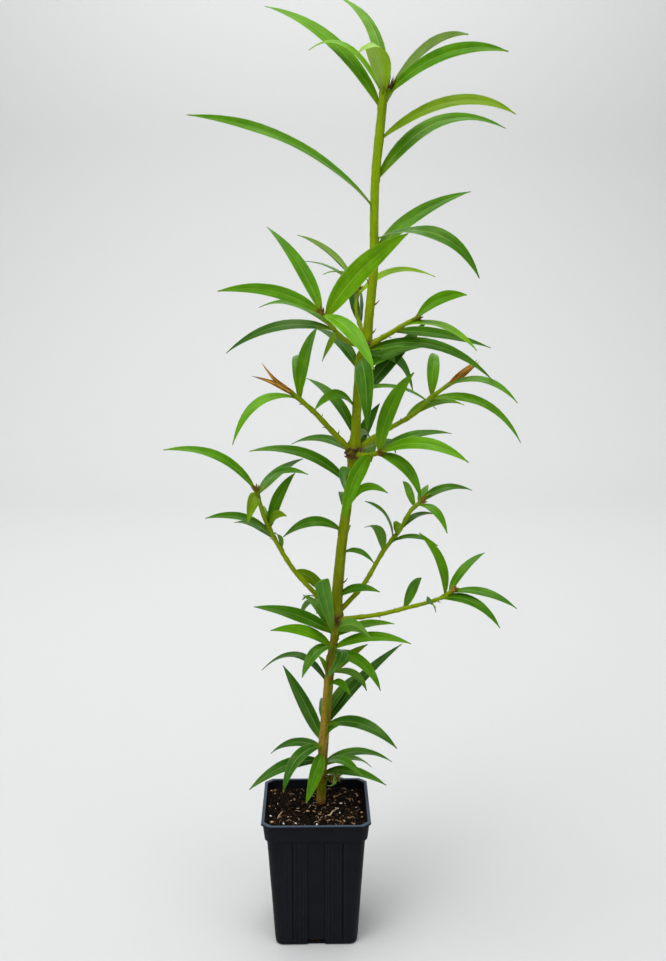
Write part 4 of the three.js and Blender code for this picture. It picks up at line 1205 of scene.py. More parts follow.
# and on a bough: the share of its length, its side and its length
BOUGH_SPURS = (("middle_left", 0.28, 1, 4.6), ("middle_left", 0.42, -1, 3.8),
               ("middle_left", 0.55, 1, 3.0), ("middle_left", 0.8, -1, 3.4),
               ("middle_left", 0.9, 1, 3.6), ("upper_right", 0.42, 1, 3.4),
               ("upper_right", 0.68, 1, 3.2), ("upper_right", 0.3, -1, 2.4),
               ("lower_left", 0.2, -1, 3.6), ("lower_left", 0.3, 1, 2.6),
               ("lower_left", 0.66, -1, 3.4), ("lower_left", 0.72, -1, 3.2),
               ("lower_right", 0.3, 1, 2.6), ("lower_right", 0.55, -1, 3.0),
               ("lowest_right", 0.34, 1, 3.2), ("lowest_right", 0.48, -1, 2.4),
               ("lowest_right", 0.84, 1, 3.4), ("middle_right", 0.3, 1, 3.4),
               ("middle_right", 0.46, -1, 2.8), ("upper_back", 0.5, 1, 3.0),
               ("upper_back", 0.6, -1, 3.0), ("upper_left", 0.5, -1, 2.6),
               ("middle_front", 0.6, 1, 2.2))
SPUR_LENGTH = 5
spur_places = []
for height, way, rise, length in TRUNK_SPURS:
    middle, radius = trunk_at(height)
    out = Vector((math.cos(math.radians(way)), math.sin(math.radians(way)), 0))
    spur_places.append((middle + out * (radius - 0.4), out + Vector((0, 0, rise)), length / SPUR_LENGTH))
for name, share, side, length in BOUGH_SPURS:
    path = bough_paths[name]
    ahead = path.heading(share)
    out = ahead.cross(Vector((0, 1, 0))).normalized() * -side
    radius = BOUGHS[name]["radius"][1]
    spur_places.append((path.at(share) + out * (radius - 0.3), out + ahead * 0.9, length / SPUR_LENGTH))
scaly_piece("dry_spurs", husk, spur_places,
            scales=1, opening=4, closing=4, length=SPUR_LENGTH, width=1.5, core=0.1, seed=4)


# ---------- dried tips ----------
# Two of the middle boughs died back at their ends. Their last leaves have rolled up and dried to
# long brown papery points that stand on past the living wood.
# Each tip's reach past the end of its bough, its width and how far it bows.
DRIED_TIPS = {
    "middle_left": (((-34, -4, 14), 6.2, 0.05), ((-25, -2, 26), 5.6, -0.06), ((-17, -5, 11), 6.0, 0.0)),
    "middle_right": (((27, 4, 20), 5.6, 0.03), ((25, 3, 21.5), 5.6, -0.03), ((24, 2, 19), 5.6, 0.0)),
}
dried = grained_finish(
    "dried_leaf", [(0.4, paint(96, 60, 8)), (0.5, paint(154, 106, 24)), (0.62, paint(204, 156, 70))],
    (0.55, 0.8), clouds=260, specks=1400, speck_share=0.3, bump=0.5, bump_depth=0.12, gloss=0.12)
dried_streak = put(dried.node_tree, "ShaderNodeAttribute", attribute_name="streak")
wire(dried.node_tree, (dried_streak, "Fac", dried.node_tree.nodes["Color Ramp"], "Fac"))
DRIED_SIDES, DRIED_STEPS = 12, 14
DRIED_FURL, DRIED_FLATNESS, DRIED_POINT = 0.22, 0.55, 0.02
DRIED_ROOT = 4                  # how far back in the bough a tip starts
dried_parts, dried_streaks = [], []
for name, tips in DRIED_TIPS.items():
    path = bough_paths[name]
    for reach, width, bow in tips:
        foot = path.at(1) - path.heading(1) * DRIED_ROOT
        tip = path.at(1) + Vector(reach)
        axis = (tip - foot).normalized()
        flat = axis.cross(Vector((0, -1, 0.15))).normalized()
        thick = axis.cross(flat)
        rings = []
        for k in range(DRIED_STEPS):
            t = k / DRIED_STEPS
            middle = foot.lerp(tip, t) + flat * (bow * (tip - foot).length * math.sin(math.pi * t))
            half = width / 2 * (0.42 + 0.58 * math.sin(math.pi / 2 * min(1, t * 3))) * (1 - t ** 1.3)
            ring = []
            for n in range(DRIED_SIDES):
                angle = 2 * math.pi * n / DRIED_SIDES
                furl = 1 + DRIED_FURL * math.cos(3 * angle + 2 * t)
                streak = 0.16 * math.cos(5 * angle + 2 * t) + 0.2 * noise.noise((n * 1.3, t * 4, width))
                dried_streaks.append(0.5 + streak)
                ring.append((middle + flat * (half * furl * math.cos(angle))
                             + thick * (DRIED_FLATNESS * half * furl * math.sin(angle))) * MM)
            rings.append(ring)
        rings.append([tip * MM + (point - rings[-1][0]) * DRIED_POINT for point in rings[-1]])
        dried_streaks += dried_streaks[-DRIED_SIDES:]
        dried_parts.append(closed_skin(rings))
dried_tips = new_piece("dried_tips", *join_parts(dried_parts), dried, smooth_below=50)
mark_vertices(dried_tips, streak=dried_streaks)
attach(dried_tips, "root")


# ---------- leaves ----------
# Leathery strap leaves grow singly round the trunk and in tufts round the ends of the boughs.
# Each has a short stalk, near-parallel sides, a point, a raised pale midrib and a paler underside.
# A leaf's row: where it grows (a height on the trunk or a share of its bough), its tip from its
# foot (right, back, up), its width, its arch, its roll (at foot and tip, and where it turns, when it
# twists), where it bends, and its colour. A leaf that curls over has one thing more: the point
# that it bends round, from its foot.
TIERS = {
    "crown": [
        (766, -103, 42, 95, 14, 0.105, 45, 0.54, "bright"),
        (776, -44, 74, 103, 14, 0.235, 188, 0.44, "mid", (4, 0, 74)),
        (778, -65, 10, 39, 9, 0.26, 28, 0.5, "lush", (-31, 2, 63)),
        (780, -25, -70, 19, 20, 0.265, 178, 0.5, "opening", (-3, -30, 53)),
        (765, 81, 48, 74, 13, 0.18, -50, 0.57, "lush", (35, 20, 74)),
        (776, 96, -72, 24, 14, 0.14, 70, 0.56, "mid"),
        (741, 110, -52, 14, 14, 0.165, 55, 0.62, "olive"),
        (706, 118, 23, 48, 15, 0.21, 50, 0.6, "mid"),
    ],
    "neck": [
        (684, -156, -73, 67, 16, 0.10, (38, 56, 0.5), 0.5, "mid"),
        (644, 90, 35, 57, 15, 0.08, 45, 0.5, "mid"),
        (657, 88, -41, -35, 14, 0.22, (18, 52, 0.18), 0.56, "dark"),
    ],
    "upper": [
        (558, 116, -21, -25, 12, 0.165, 45, 0.5, "dark"),
        (542, -38, 43, 35, 12, 0.12, 20, 0.5, "deep"),
        (552, 5, -54, -58, 17, 0.25, 35, 0.5, "dark"),
        (541, 63, 14, 21, 13, 0.12, 45, 0.5, "mid", (34, 6, 25)),
        (514, 66, 25, 72, 14, 0.02, 60, 0.5, "deep"),
        (555, 50, 20, -36, 12, 0.25, 60, 0.5, "glossy", (40, 14, 13)),
        (523, 71, -10, -16, 11, 0.15, 10, 0.5, "mid"),
    ],
    "middle": [
        (505, -39, -31, 3, 11, 0.30, 45, 0.5, "mid"),
        (480, -45, 46, 51, 12, 0.12, 15, 0.5, "dark"),
        (466, -58, 38, 3, 11, 0.14, 25, 0.5, "dark"),
        (468, 25, 28, 41, 12, 0.04, 75, 0.5, "dark"),
        (467, 18, 14, 7, 7, 0.2, 60, 0.5, "matt", (5, 4, 32)),
    ],
    "waist": [
        (436, -92, -1, 32, 13, 0.15, 40, 0.5, "dark"),
        (426, 9, -20, 20, 10, 0.25, 75, 0.5, "glossy", (-13, -14, 40)),
        (412, 37, -24, 21, 11, 0.26, 50, 0.6, "bright"),
        (392, -55, -25, 1, 12, 0.20, 35, 0.5, "dark"),
        (371, 30, -20, -4, 8, 0.20, 25, 0.5, "dark"),
        (329, 39, -22, 11, 10, 0.14, 40, 0.5, "dark"),
    ],
    "lower": [
        (296, 32, -44, 5, 13, 0.18, -90, 0.5, "dark"),
        (290, 57, -2, 13, 11, 0.10, 25, 0.5, "bright"),
        (278, 73, -23, 12, 13, 0.12, 30, 0.5, "bright"),
        (275, 45, -19, -32, 13, 0.18, 30, 0.5, "mid"),
        (254, 36, 15, -24, 10, 0.20, -55, 0.5, "dark"),
        (252, 37, 15, 25, 9, 0.06, 50, 0.5, "olive"),
        (278, -8, -42, -14, 11, 0.15, -42, 0.5, "deep", (21, -22, 9)),
        (289, -6, -8, 26, 14.5, 0.3, 0, 0.5, "glossy", (-22, -46, 112)),
        (289, -30, 33, 33, 11, 0.14, 25, 0.5, "dark"),
        (293, -77, 3, 26, 15, 0.07, 40, 0.5, "dark"),
        (279, -58, -24, 25, 13, 0.12, 45, 0.5, "bright"),
        (281, -29, -37, -18, 13, 0.20, 15, 0.5, "dark"),
        (242, -65, 20, 7, 12, 0.33, 15, 0.5, "deep"),
        (242, -10, -15, 34, 8, 0.10, 80, 0.5, "fresh"),
        (242, 20, -28, 0, 9, 0.20, 20, 0.5, "mid"),
    ],
    "foot": [
        (199, 77, 40, 69, 13, 0.06, 20, 0.5, "deep"),
        (207, 36, 38, 33, 11, 0.10, 5, 0.5, "dark"),
        (182, -40, 47, 62, 14, 0.03, 60, 0.5, "deep"),
        (203, -4, 43, 8, 10, 0.10, 50, 0.5, "dark"),
        (200, 67, -41, -7, 14, 0.17, 30, 0.5, "deep"),
        (185, 16, -19, 23, 9, 0.12, 60, 0.5, "dark"),
        (176, -52, 24, -16, 11, 0.15, 25, 0.5, "deep"),
        (179, -38, -37, -31, 13, 0.25, 20, 0.5, "deep"),
        (163, -69, -44, -9, 13, 0.12, 30, 0.5, "deep"),
        (172, -16, -51, -28, 14, 0.04, 45, 0.5, "mid"),
        (159, 69, 15, -5, 12, 0.17, 20, 0.5, "dark"),
        (158, 37, -36, 5, 12, 0.20, 20, 0.5, "dark"),
        (157, 50, 32, -16, 10, 0.15, 15, 0.5, "mid"),
        (150, 61, -29, 0, 12, 0.11, 20, 0.5, "dark"),
    ],
}
TUFTS = {
    "upper_left": [
        (0.88, 66, -54, 68, 20, 0.065, 95, 0.5, "lush"),
        (0.97, -48, 44, 74, 14, 0.07, 20, 0.5, "mid"),
        (0.95, -86, -37, 19, 13, 0.10, 60, 0.5, "mid"),
        (0.64, -68, 51, 18, 12, 0.15, 30, 0.5, "mid"),
        (0.63, -97, 27, -22, 12, 0.13, 45, 0.5, "deep"),
        (0.94, 40, -72, -42, 15, 0.10, 15, 0.5, "bright"),
        (0.55, -14, -35, -22, 8, 0.10, 85, 0.5, "fresh"),
    ],
    "upper_right": [
        (0.95, 38, -55, 21, 13, 0.10, 75, 0.5, "bright"),
        (0.7, 61, -43, -20, 12, 0.145, 20, 0.5, "lush"),
        (0.52, 92, 21, -16, 12, 0.12, 45, 0.5, "dark", (43, 10, 2)),
    ],
    "upper_back": [
        (0.36, -11, 50, 40, 13, 0.10, 70, 0.5, "deep"),
        (0.3, 3, 44, 32, 10, 0.10, 70, 0.5, "deep"),
        (0.97, -56, 36, 50, 10, 0.10, -50, 0.5, "lush"),
        (0.93, -49, 39, 28, 10, 0.10, 0, 0.5, "glossy"),
        (0.9, -32, -34, 16, 9, 0.20, -5, 0.5, "lush"),
        (0.82, 71, -8, 18, 9, 0.20, 35, 0.5, "fresh"),
    ],
    "middle_left": [
        (0.88, 17, -49, 64, 13, 0.10, 120, 0.5, "bright"),
        (0.85, -6, 60, 35, 11, 0.20, 20, 0.5, "mid"),
        (0.87, -56, -46, -35, 12, 0.23, 20, 0.5, "bright"),
    ],
    "middle_right": [
        (0.79, 10, 60, 36, 12, 0.20, 20, 0.5, "bright"),
        (0.94, 61, -35, -12, 11, 0.19, 25, 0.5, "mid"),
        (0.77, 82, -21, -39, 12, 0.19, 35, 0.5, "bright"),
        (0.5, 59, 29, 10, 11, 0.15, 35, 0.5, "lush"),
    ],
    "middle_front": [
        (0.95, 27, -39, 74, 15, 0.10, 110, 0.5, "bright"),
        (0.97, 74, -38, -3, 13, 0.15, 50, 0.5, "bright"),
        (0.96, 68, 31, 13, 12, 0.10, 25, 0.5, "dark"),
        (0.9, 37, -21, -38, 12, 0.18, 35, 0.5, "mid"),
        (0.7, -26, -41, -52, 15, 0.15, 65, 0.5, "bright"),
    ],
    "middle_back": [],
    "lower_left": [
        (0.98, -80, -17, 40, 12, 0.16, 40, 0.5, "mid"),
        (0.97, 46, -32, 22, 10, 0.18, 35, 0.5, "dark"),
        (0.96, 41, 42, 26, 11, 0.08, 20, 0.5, "dark"),
        (0.95, -7, -37, -17, 12, 0.18, 50, 0.5, "olive"),
        (0.73, 24, -22, 55, 12, 0.08, 95, 0.5, "mid"),
        (0.78, -3, 27, 9, 8, 0.15, 145, 0.5, "matt"),
        (0.74, 17, -22, 15, 9, 0.20, 75, 0.5, "olive"),
        (0.7, -57, -30, 20, 11, 0.12, 35, 0.5, "dark"),
        (0.65, -40, 34, 9, 10, 0.12, 20, 0.5, "deep"),
        (0.58, -6, -17, 18, 8, 0.25, 25, 0.5, "mid"),
        (0.42, 32, 24, -36, 11, 0.10, 80, 0.5, "olive"),
    ],
    "lower_right": [
        (0.98, 52, 21, 7, 10, 0.15, 30, 0.5, "dark"),
        (0.95, 25, -31, -21, 10, 0.20, 15, 0.5, "bright"),
        (0.97, 11, 30, 12, 9, 0.10, 170, 0.5, "dark"),
        (0.93, -9, 35, 18, 10, 0.10, 70, 0.5, "lush"),
        (0.66, -28, -19, 39, 9, 0.15, 45, 0.5, "mid"),
        (0.54, -19, -26, 29, 10, 0.25, -25, 0.5, "dark"),
        (0.69, 3, -24, 15, 11, 0.15, 120, 0.5, "fresh"),
        (0.71, 41, 21, 12, 9, 0.18, 10, 0.5, "dark"),
        (0.61, 43, -28, 4, 9, 0.15, 15, 0.5, "dark"),
    ],
    "lowest_right": [
        (0.91, -25, -7, 60, 11, 0.12, 70, 0.5, "bright"),
        (0.95, 37, 34, 29, 11, 0.10, 5, 0.5, "mid"),
        (0.96, 56, -27, -8, 10, 0.12, 25, 0.5, "dark"),
        (0.86, 50, -33, -18, 11, 0.18, 30, 0.5, "dark"),
        (0.56, 20, 41, 18, 11, 0.10, 60, 0.5, "mid"),
        (0.75, 6, -25, -2, 10, 0.20, -60, 0.5, "glossy"),
    ],
    "lower_back": [],
}

# Leaves that fill the side away from the front, by a seeded rule: they stand to the left and the
# right of straight back in turn, each with a length and a rise of its own.
BACK_LEAVES = {
    "waist": dict(count=2, seed=48, start=380, end=440),
    "middle_back": dict(count=6, seed=8, start=0.66, end=1),
    "lower_back": dict(count=6, seed=4, start=0.6, end=1),
}


DRAW_STEP, DRAW_ROUND = 16807, 2147483647
BACK_WIDTH, BACK_ARCH = 11.5, 0.14


def back_leaves(count, seed, start, end):
    """Rows of leaves for the side away from the front."""
    state = seed
    rows = []

    def between(low, high):
        nonlocal state
        state = state * DRAW_STEP % DRAW_ROUND
        return low + (high - low) * state / DRAW_ROUND

    for n in range(count):
        turn = math.radians(between(4, 38)) * (-1 if n % 2 else 1)
        length = between(46, 62)
        up = length * between(-0.55, -0.1)
        place = start + (end - start) * (n + 0.5) / count
        right, back = length * math.sin(turn), length * math.cos(turn)
        # the dark tone is painted shade for the side away from the light
        rows.append((place, right, back, up, BACK_WIDTH, BACK_ARCH, 0, 0.5, "dark"))
    return rows


LEAF_STATIONS = (0, 0.015, 0.03, 0.05, 0.08, 0.12, 0.17, 0.23, 0.3, 0.37, 0.44, 0.51, 0.58, 0.65,
                 0.72, 0.78, 0.84, 0.89, 0.93, 0.96, 0.985)
LEAF_ACROSS = (-1, -0.8, -0.45, -0.06, 0, 0.06, 0.45, 0.8, 1)
LEAF_UNDER = LEAF_ACROSS[-2:0:-1]
# how far the sides of the blade stand up from its midrib, on a grown and on an opening leaf
FOLD, YOUNG_FOLD = 0.27, 0.45
MARGIN_CURL, WAVE_HEIGHT = 0.1, 0.5
# the midrib on the upper and the under side: how high, and how much of that it loses to its point
RIB_ABOVE, RIB_BELOW = (0.16, 0.7), (0.4, 0.6)
BLADE_THICKNESS, BLADE_THINNING = 0.5, 0.4
STALK_HALF_WIDTH, STALK_SHARE = 0.7, 0.05
STALK_ABOVE, STALK_BELOW = 0.3, 0.5
TWIST_SHARE = 0.35              # a leaf that twists does so over this share of its length
SWAY = math.radians(10)
BLADE_KNOTS = (0, 0.1, 0.2, 0.33, 0.5, 0.65, 0.8, 0.9, 1)
BLADE_WIDTHS = ((0.1,), (0.56,), (0.84,), (0.99,), (0.98,), (0.82,), (0.55,), (0.31,), (0,))
# The tones are partly each leaf's own colour by its age and partly painted light and shade: leaves that
# lie in shade are given the darker tones, lit ones the brighter, and the shiny tone has a bluish painted
# reflection of the sky in its colour.
TONES = ("opening", "fresh", "olive", "lush", "bright", "mid", "dark", "deep", "glossy", "matt")
PALE_BELOW = ("opening", "fresh", "lush")
PALE_UNDERSIDE, UNDERSIDE, PALE_HALF = range(len(TONES), len(TONES) + 3)


def blade_share(t):
    """How wide a blade is at a share of its length, as a share of its full width."""
    return max(0.0, smooth_at(BLADE_KNOTS, BLADE_WIDTHS, t)[0])


def leaf_bend(row):
    """Where a leaf bends, from its foot, and the way that its upper side looks."""
    _, right, back, up, _, arch, _, bend = row[:8]
    reach = Vector((right, back, up))
    along = reach.normalized()
    if len(row) == 10:
        control = Vector(row[9])
        return control, (control - along * along.dot(control)).normalized()
    lift = (Vector((0, 0, 1)) - along * along.z).normalized()
    return reach * bend + lift * (2 * arch * reach.length), lift


def leaf_parts(foot, row, seed):
    """Points, faces, finishes and the places along and across one leaf."""
    _, right, back, up, width, _, roll, _, tone = row[:9]
    tip = foot + Vector((right, back, up))
    control, lift = leaf_bend(row)
    control += foot
    roll_foot, roll_tip, turns_from = roll if isinstance(roll, tuple) else (roll, roll, 0)
    young = tone == "opening"
    fold = YOUNG_FOLD if young else FOLD
    rings, places = [], []
    for t in LEAF_STATIONS:
        point = foot * (1 - t) ** 2 + control * (2 * t * (1 - t)) + tip * t ** 2
        tangent = ((control - foot) * (1 - t) + (tip - control) * t).normalized()
        face = (lift - tangent * lift.dot(tangent)).normalized()
        sway = SWAY * noise.noise((t * 1.7, seed * 3.7, 0.5))
        twist = within((t - turns_from) / TWIST_SHARE)
        turn = roll_foot + (roll_tip - roll_foot) * twist * twist * (3 - 2 * twist)
        face = Matrix.Rotation(math.radians(-turn if right < 0 else turn) + sway, 3, tangent) @ face
        across = tangent.cross(face)
        share = blade_share(t)
        half = max(width / 2 * share, STALK_HALF_WIDTH)
        stalk = math.exp(-(t / STALK_SHARE) ** 2)

        def blade_point(s, rise):
            wave = WAVE_HEIGHT * noise.noise((t * 5, s * 0.6 + seed * 2.3, 7.1)) * abs(s) * share
            height = fold * half * abs(s) ** 1.15 * (1 - stalk) - MARGIN_CURL * half * abs(s) ** 5
            return point + across * (half * s) + face * (height + wave + rise)

        def rib(s, high, fading):
            return high * (1 - fading * t) if s == 0 else 0

        def thickness(s):
            return BLADE_THICKNESS * (1 - BLADE_THINNING * abs(s)) * (1 - BLADE_THINNING * t)

        rings.append([blade_point(s, rib(s, *RIB_ABOVE) + STALK_ABOVE * stalk) for s in LEAF_ACROSS]
                     + [blade_point(s, -thickness(s) - rib(s, *RIB_BELOW) - STALK_BELOW * stalk)
                        for s in LEAF_UNDER])
        places += [(t, s * 0.5 + 0.5) for s in LEAF_ACROSS + LEAF_UNDER]
    points, faces = sheet_of_points([[p * MM for p in ring] for ring in rings], closed=True)
    count = len(rings[0])
    above = len(LEAF_ACROSS) - 1
    body, below = TONES.index(tone), PALE_UNDERSIDE if tone in PALE_BELOW else UNDERSIDE
    left = PALE_HALF if young else body
    finishes = [left] * (above // 2) + [body] * (above - above // 2) + [below] * (count - above)
    finishes *= len(rings) - 1
    last, end, start = (len(rings) - 1) * count, len(points), len(points) + 1
    points += [tuple(tip * MM), tuple(foot * MM)]
    places += [(1.0, 0.5), (0.0, 0.5)]
    faces += [(last + i, last + (i + 1) % count, end) for i in range(count)]
    finishes += [body] * above + [below] * (count - above)
    faces += [((i + 1) % count, i, start) for i in range(count)]
    finishes += [below] * count
    return points, faces, finishes, places


# Where a leaf's marks are, from the places along and across its blade: the midrib, the thin pale
# margin, the yellower stalk and the dry point. Each comes out as a share from 0 to 1.
marks = bpy.data.node_groups.new("blade_marks", "ShaderNodeTree")
marks.interface.new_socket("Place", in_out="INPUT", socket_type="NodeSocketVector")
marks_in = put(marks, "NodeGroupInput")
marks_out = put(marks, "NodeGroupOutput")
marks_split = put(marks, "ShaderNodeSeparateXYZ")
marks_centred = maths(marks, "SUBTRACT", {1: 0.5})
marks_off = maths(marks, "ABSOLUTE")
wire(marks, (marks_in, "Place", marks_split, "Vector"),
     (marks_split, "Y", marks_centred, 0),
     (marks_centred, "Value", marks_off, 0))
for label, source, output, limits in (("Midrib", marks_off, "Value", (0.012, 0.05, 1, 0)),
                                      ("Rib Fade", marks_split, "X", (0.3, 0.9, 1, 0.25)),
                                      ("Margin", marks_off, "Value", (0.43, 0.49, 0, 1)),
                                      ("Stalk", marks_split, "X", (0.03, 0.16, 1, 0)),
                                      ("Point", marks_split, "X", (0.955, 0.995, 0, 1))):
    marks.interface.new_socket(label, in_out="OUTPUT", socket_type=FLOAT)
    mark_range = rescale(marks, *limits)
    wire(marks, (source, output, mark_range, "Value"), (mark_range, "Result", marks_out, label))


def leaf_finish(name, deep, light, roughness, gloss, rib=0.5):
    """A leathery leaf surface: fine streaks along the blade between a deep and a light green,
    with its midrib, margin, stalk and point marked."""
    material, tree, shader = bare_finish(name, {
        "Roughness": roughness, "Specular IOR Level": gloss, "Specular Tint": (0.85, 1.0, 0.4, 1)})
    where = put(tree, "ShaderNodeUVMap", uv_map="blade")
    stretch = put(tree, "ShaderNodeMapping", {"Scale": (2.5, 16, 1)})
    streaks = put(tree, "ShaderNodeTexNoise", {"Scale": 1.0, "Detail": 3})
    solid = put(tree, "ShaderNodeTexCoord")
    mottle = put(tree, "ShaderNodeGroup", node_tree=grain)
    fill_in(mottle, {"Cloud Scale": 60, "Speck Scale": 900, "Speck Share": 0.3})
    blend = maths(tree, "MULTIPLY_ADD", {1: 0.5})
    half = maths(tree, "MULTIPLY", {1: 0.5})
    spread = rescale(tree, 0.36, 0.62, 0, 1)
    tone = mix_colours(tree, A=deep, B=light)
    marked = put(tree, "ShaderNodeGroup", node_tree=marks)
    fading = maths(tree, "MULTIPLY")
    relief = put(tree, "ShaderNodeBump", {"Strength": 0.5, "Distance": 0.2 * MM})
    wire(
        tree,
        (where, "UV", stretch, "Vector"),
        (stretch, "Vector", streaks, "Vector"),
        (solid, "Object", mottle, "Place"),
        (mottle, "Shade", half, 0),
        (streaks, "Fac", blend, 0),
        (half, "Value", blend, 2),
        (blend, "Value", spread, "Value"),
        (spread, "Result", tone, "Factor"),
        (where, "UV", marked, "Place"),
        (marked, "Midrib", fading, 0),
        (marked, "Rib Fade", fading, 1),
        (streaks, "Fac", relief, "Height"),
        (relief, "Normal", shader, "Normal"))
    lighter = tuple(0.5 * a + 0.5 * b for a, b in zip(light, paint(160, 186, 84)))
    under = tone
    for mask, output, share, colour in ((fading, "Value", rib, lighter),
                                        (marked, "Margin", 0.45, lighter),
                                        (marked, "Stalk", 0.7, paint(108, 130, 6)),
                                        (marked, "Point", 0.6, paint(120, 100, 40))):
        amount = maths(tree, "MULTIPLY", {1: share})
        layer = mix_colours(tree, B=colour)
        wire(tree, (mask, output, amount, 0),
             (amount, "Value", layer, "Factor"),
             (under, "Result", layer, "A"))
        under = layer
    wire(tree, (under, "Result", shader, "Base Color"))
    return material


leaf_finishes = [
    leaf_finish("leaf_opening", paint(134, 174, 12), paint(164, 206, 40), 0.42, 0.12),
    leaf_finish("leaf_fresh", paint(100, 138, 6), paint(134, 174, 30), 0.42, 0.12),
    leaf_finish("leaf_olive", paint(82, 112, 2), paint(112, 144, 16), 0.45, 0.12),
    leaf_finish("leaf_lush", paint(72, 120, 2), paint(106, 156, 12), 0.38, 0.14),
    leaf_finish("leaf_bright", paint(58, 110, 0), paint(92, 146, 6), 0.34, 0.14, rib=0.4),
    leaf_finish("leaf_mid", paint(46, 94, 0), paint(80, 132, 10), 0.32, 0.14, rib=0.4),
    leaf_finish("leaf_dark", paint(34, 78, 2), paint(66, 116, 14), 0.3, 0.14),
    leaf_finish("leaf_deep", paint(24, 62, 4), paint(50, 96, 20), 0.3, 0.15),
    # a shiny leaf, with a bluish painted reflection of the sky in its colour
    leaf_finish("leaf_shiny_painted_sky", paint(54, 106, 22), paint(90, 146, 48), 0.3, 0.2, rib=0.4),
    leaf_finish("leaf_matt", paint(98, 126, 80), paint(130, 156, 108), 0.55, 0.12, rib=0.3),
    leaf_finish("leaf_pale_underside", paint(120, 156, 60), paint(148, 184, 88), 0.55, 0.12),
    leaf_finish("leaf_underside", paint(76, 118, 30), paint(100, 144, 48), 0.6, 0.12),
    leaf_finish("leaf_opening_half", paint(146, 180, 64), paint(172, 206, 92), 0.55, 0.12),
]


def leaf_piece(name, grown, nodes):
    """One joined piece of leaves. grown is a list of (foot, row)."""
    leaves, finishes, places = [], [], []
    for n, (foot, row) in enumerate(grown):
        *skin, leaf_marks, leaf_places = leaf_parts(foot, row, n + len(name))
        leaves.append(skin)
        finishes += leaf_marks
        places += leaf_places
    piece = new_piece(name, *join_parts(leaves), *leaf_finishes, smooth_below=50)
    piece.data.polygons.foreach_set("material_index", finishes)
    blade = piece.data.uv_layers.new(name="blade")
    corners = np.empty(len(piece.data.loops), dtype=np.int32)
    piece.data.loops.foreach_get("vertex_index", corners)
    blade.data.foreach_set("uv", np.array(places, dtype=np.float32)[corners].ravel())
    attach(piece, "root")
    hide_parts(*nodes)


def grown_leaves(name):
    """The leaves of one tier of the trunk or of one bough, each with the place of its foot."""
    rows = TIERS.get(name, []) + TUFTS.get(name, [])
    if name in BACK_LEAVES:
        rows += back_leaves(**BACK_LEAVES[name])
    if name in TIERS:
        return [(trunk_at(row[0])[0], row) for row in rows]
    return [(bough_paths[name].at(row[0]), row) for row in rows]


LEAF_PIECES = {
    "leaves_leader": ("crown", "neck"),
    "leaves_upper_whorl": ("upper", "upper_left", "upper_right", "upper_back"),
    "leaves_middle_whorl": ("middle", "middle_left", "middle_right", "middle_front", "middle_back"),
    "leaves_lower_whorl": ("waist", "lower", "lower_left", "lower_right", "lowest_right", "lower_back"),
    "leaves_foot": ("foot",),
}
for name, places in LEAF_PIECES.items():
    grown = [leaf for place in places for leaf in grown_leaves(place)]
    nodes = [f"foliage_trunk_{place}" if place in TIERS else f"foliage_{place}" for place in places]
    leaf_piece(name, grown, nodes)


# ---------- withered shoot ----------
# Low on the right of the stem a short side shoot has withered. Its twig ends in a tuft of dry
# olive scales, and its last leaf hangs in a pale curl under it.
SHOOT_ROUTE = [(7, 12, 143), (11, 9, 146), (15, 5, 148.5), (19, 2.5, 151)]
# tufts along the shoot: share of its length, which way they look, and size
SHOOT_TUFTS = ((0.25, (0.3, -0.7, 0.6), 0.9), (0.5, (0.3, -0.5, 1), 1.0),
               (0.75, (0.6, -0.6, 0.5), 1.1), (1, (1, -0.3, 0.5), 1.1))
CURL_ROUTE = [(17, 4, 152), (18.3, 1, 149), (17.6, 0, 145.5), (15, 0.5, 142.8), (11.6, 2, 141.8),
              (10.2, 3, 142.6)]
CURL_STEPS, CURL_SIDES, CURL_HALF_WIDTH = 14, 8, 1.7
CURL_THICKNESS, CURL_CUPPING = 0.3, 0.25
shoot_path, curl_path = LimbPath(SHOOT_ROUTE), LimbPath(CURL_ROUTE)
shoot_rings = limb_rings(shoot_path, lambda share: 1.3 - 0.5 * share)
shoot_twig = new_piece("withered_twig", *closed_skin(shoot_rings), bark, smooth_below=60)
half_old = [0.5] * len(shoot_twig.data.vertices)
mark_vertices(shoot_twig, age=half_old, brown=half_old)
olive_husk = husk_finish("olive_husk", (paint(52, 56, 14), paint(92, 92, 34), paint(140, 128, 62)))
tuft_places = [(shoot_path.at(share), way, size) for share, way, size in SHOOT_TUFTS]
scaly_piece("withered_tuft", olive_husk, tuft_places,
            scales=13, opening=75, closing=10, length=6.5, width=1.7, core=1.2, seed=13)
curl_rings = []
for k in range(CURL_STEPS + 1):
    share = k / CURL_STEPS
    ahead = curl_path.heading(share)
    flat = Vector((0.15, -0.95, 0.3)).cross(ahead).normalized()
    thick = ahead.cross(flat)
    swell = 0.35 + 0.65 * math.sin(math.pi * min(1, 1.4 * share + 0.1))
    half = CURL_HALF_WIDTH * swell * (1 - share ** 3) + 0.12
    ring = []
    for n in range(CURL_SIDES):
        angle = 2 * math.pi * n / CURL_SIDES
        cupped = CURL_THICKNESS * math.sin(angle) + CURL_CUPPING * half * math.cos(angle) ** 2
        ring.append((curl_path.at(share) + flat * (half * math.cos(angle)) + thick * cupped) * MM)
    curl_rings.append(ring)
curl_green = grained_finish(
    "curl_green", [(0.36, paint(84, 122, 40)), (0.64, paint(128, 168, 74))], (0.5, 0.65),
    clouds=220, specks=1300, bump=0.4, bump_depth=0.1, gloss=0.12)
curl = new_piece("withered_curl", *closed_skin(curl_rings), curl_green, smooth_below=60)
for piece, slot in ((shoot_twig, "green_bark"), (curl, "leaf_green")):
    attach(piece, "root")


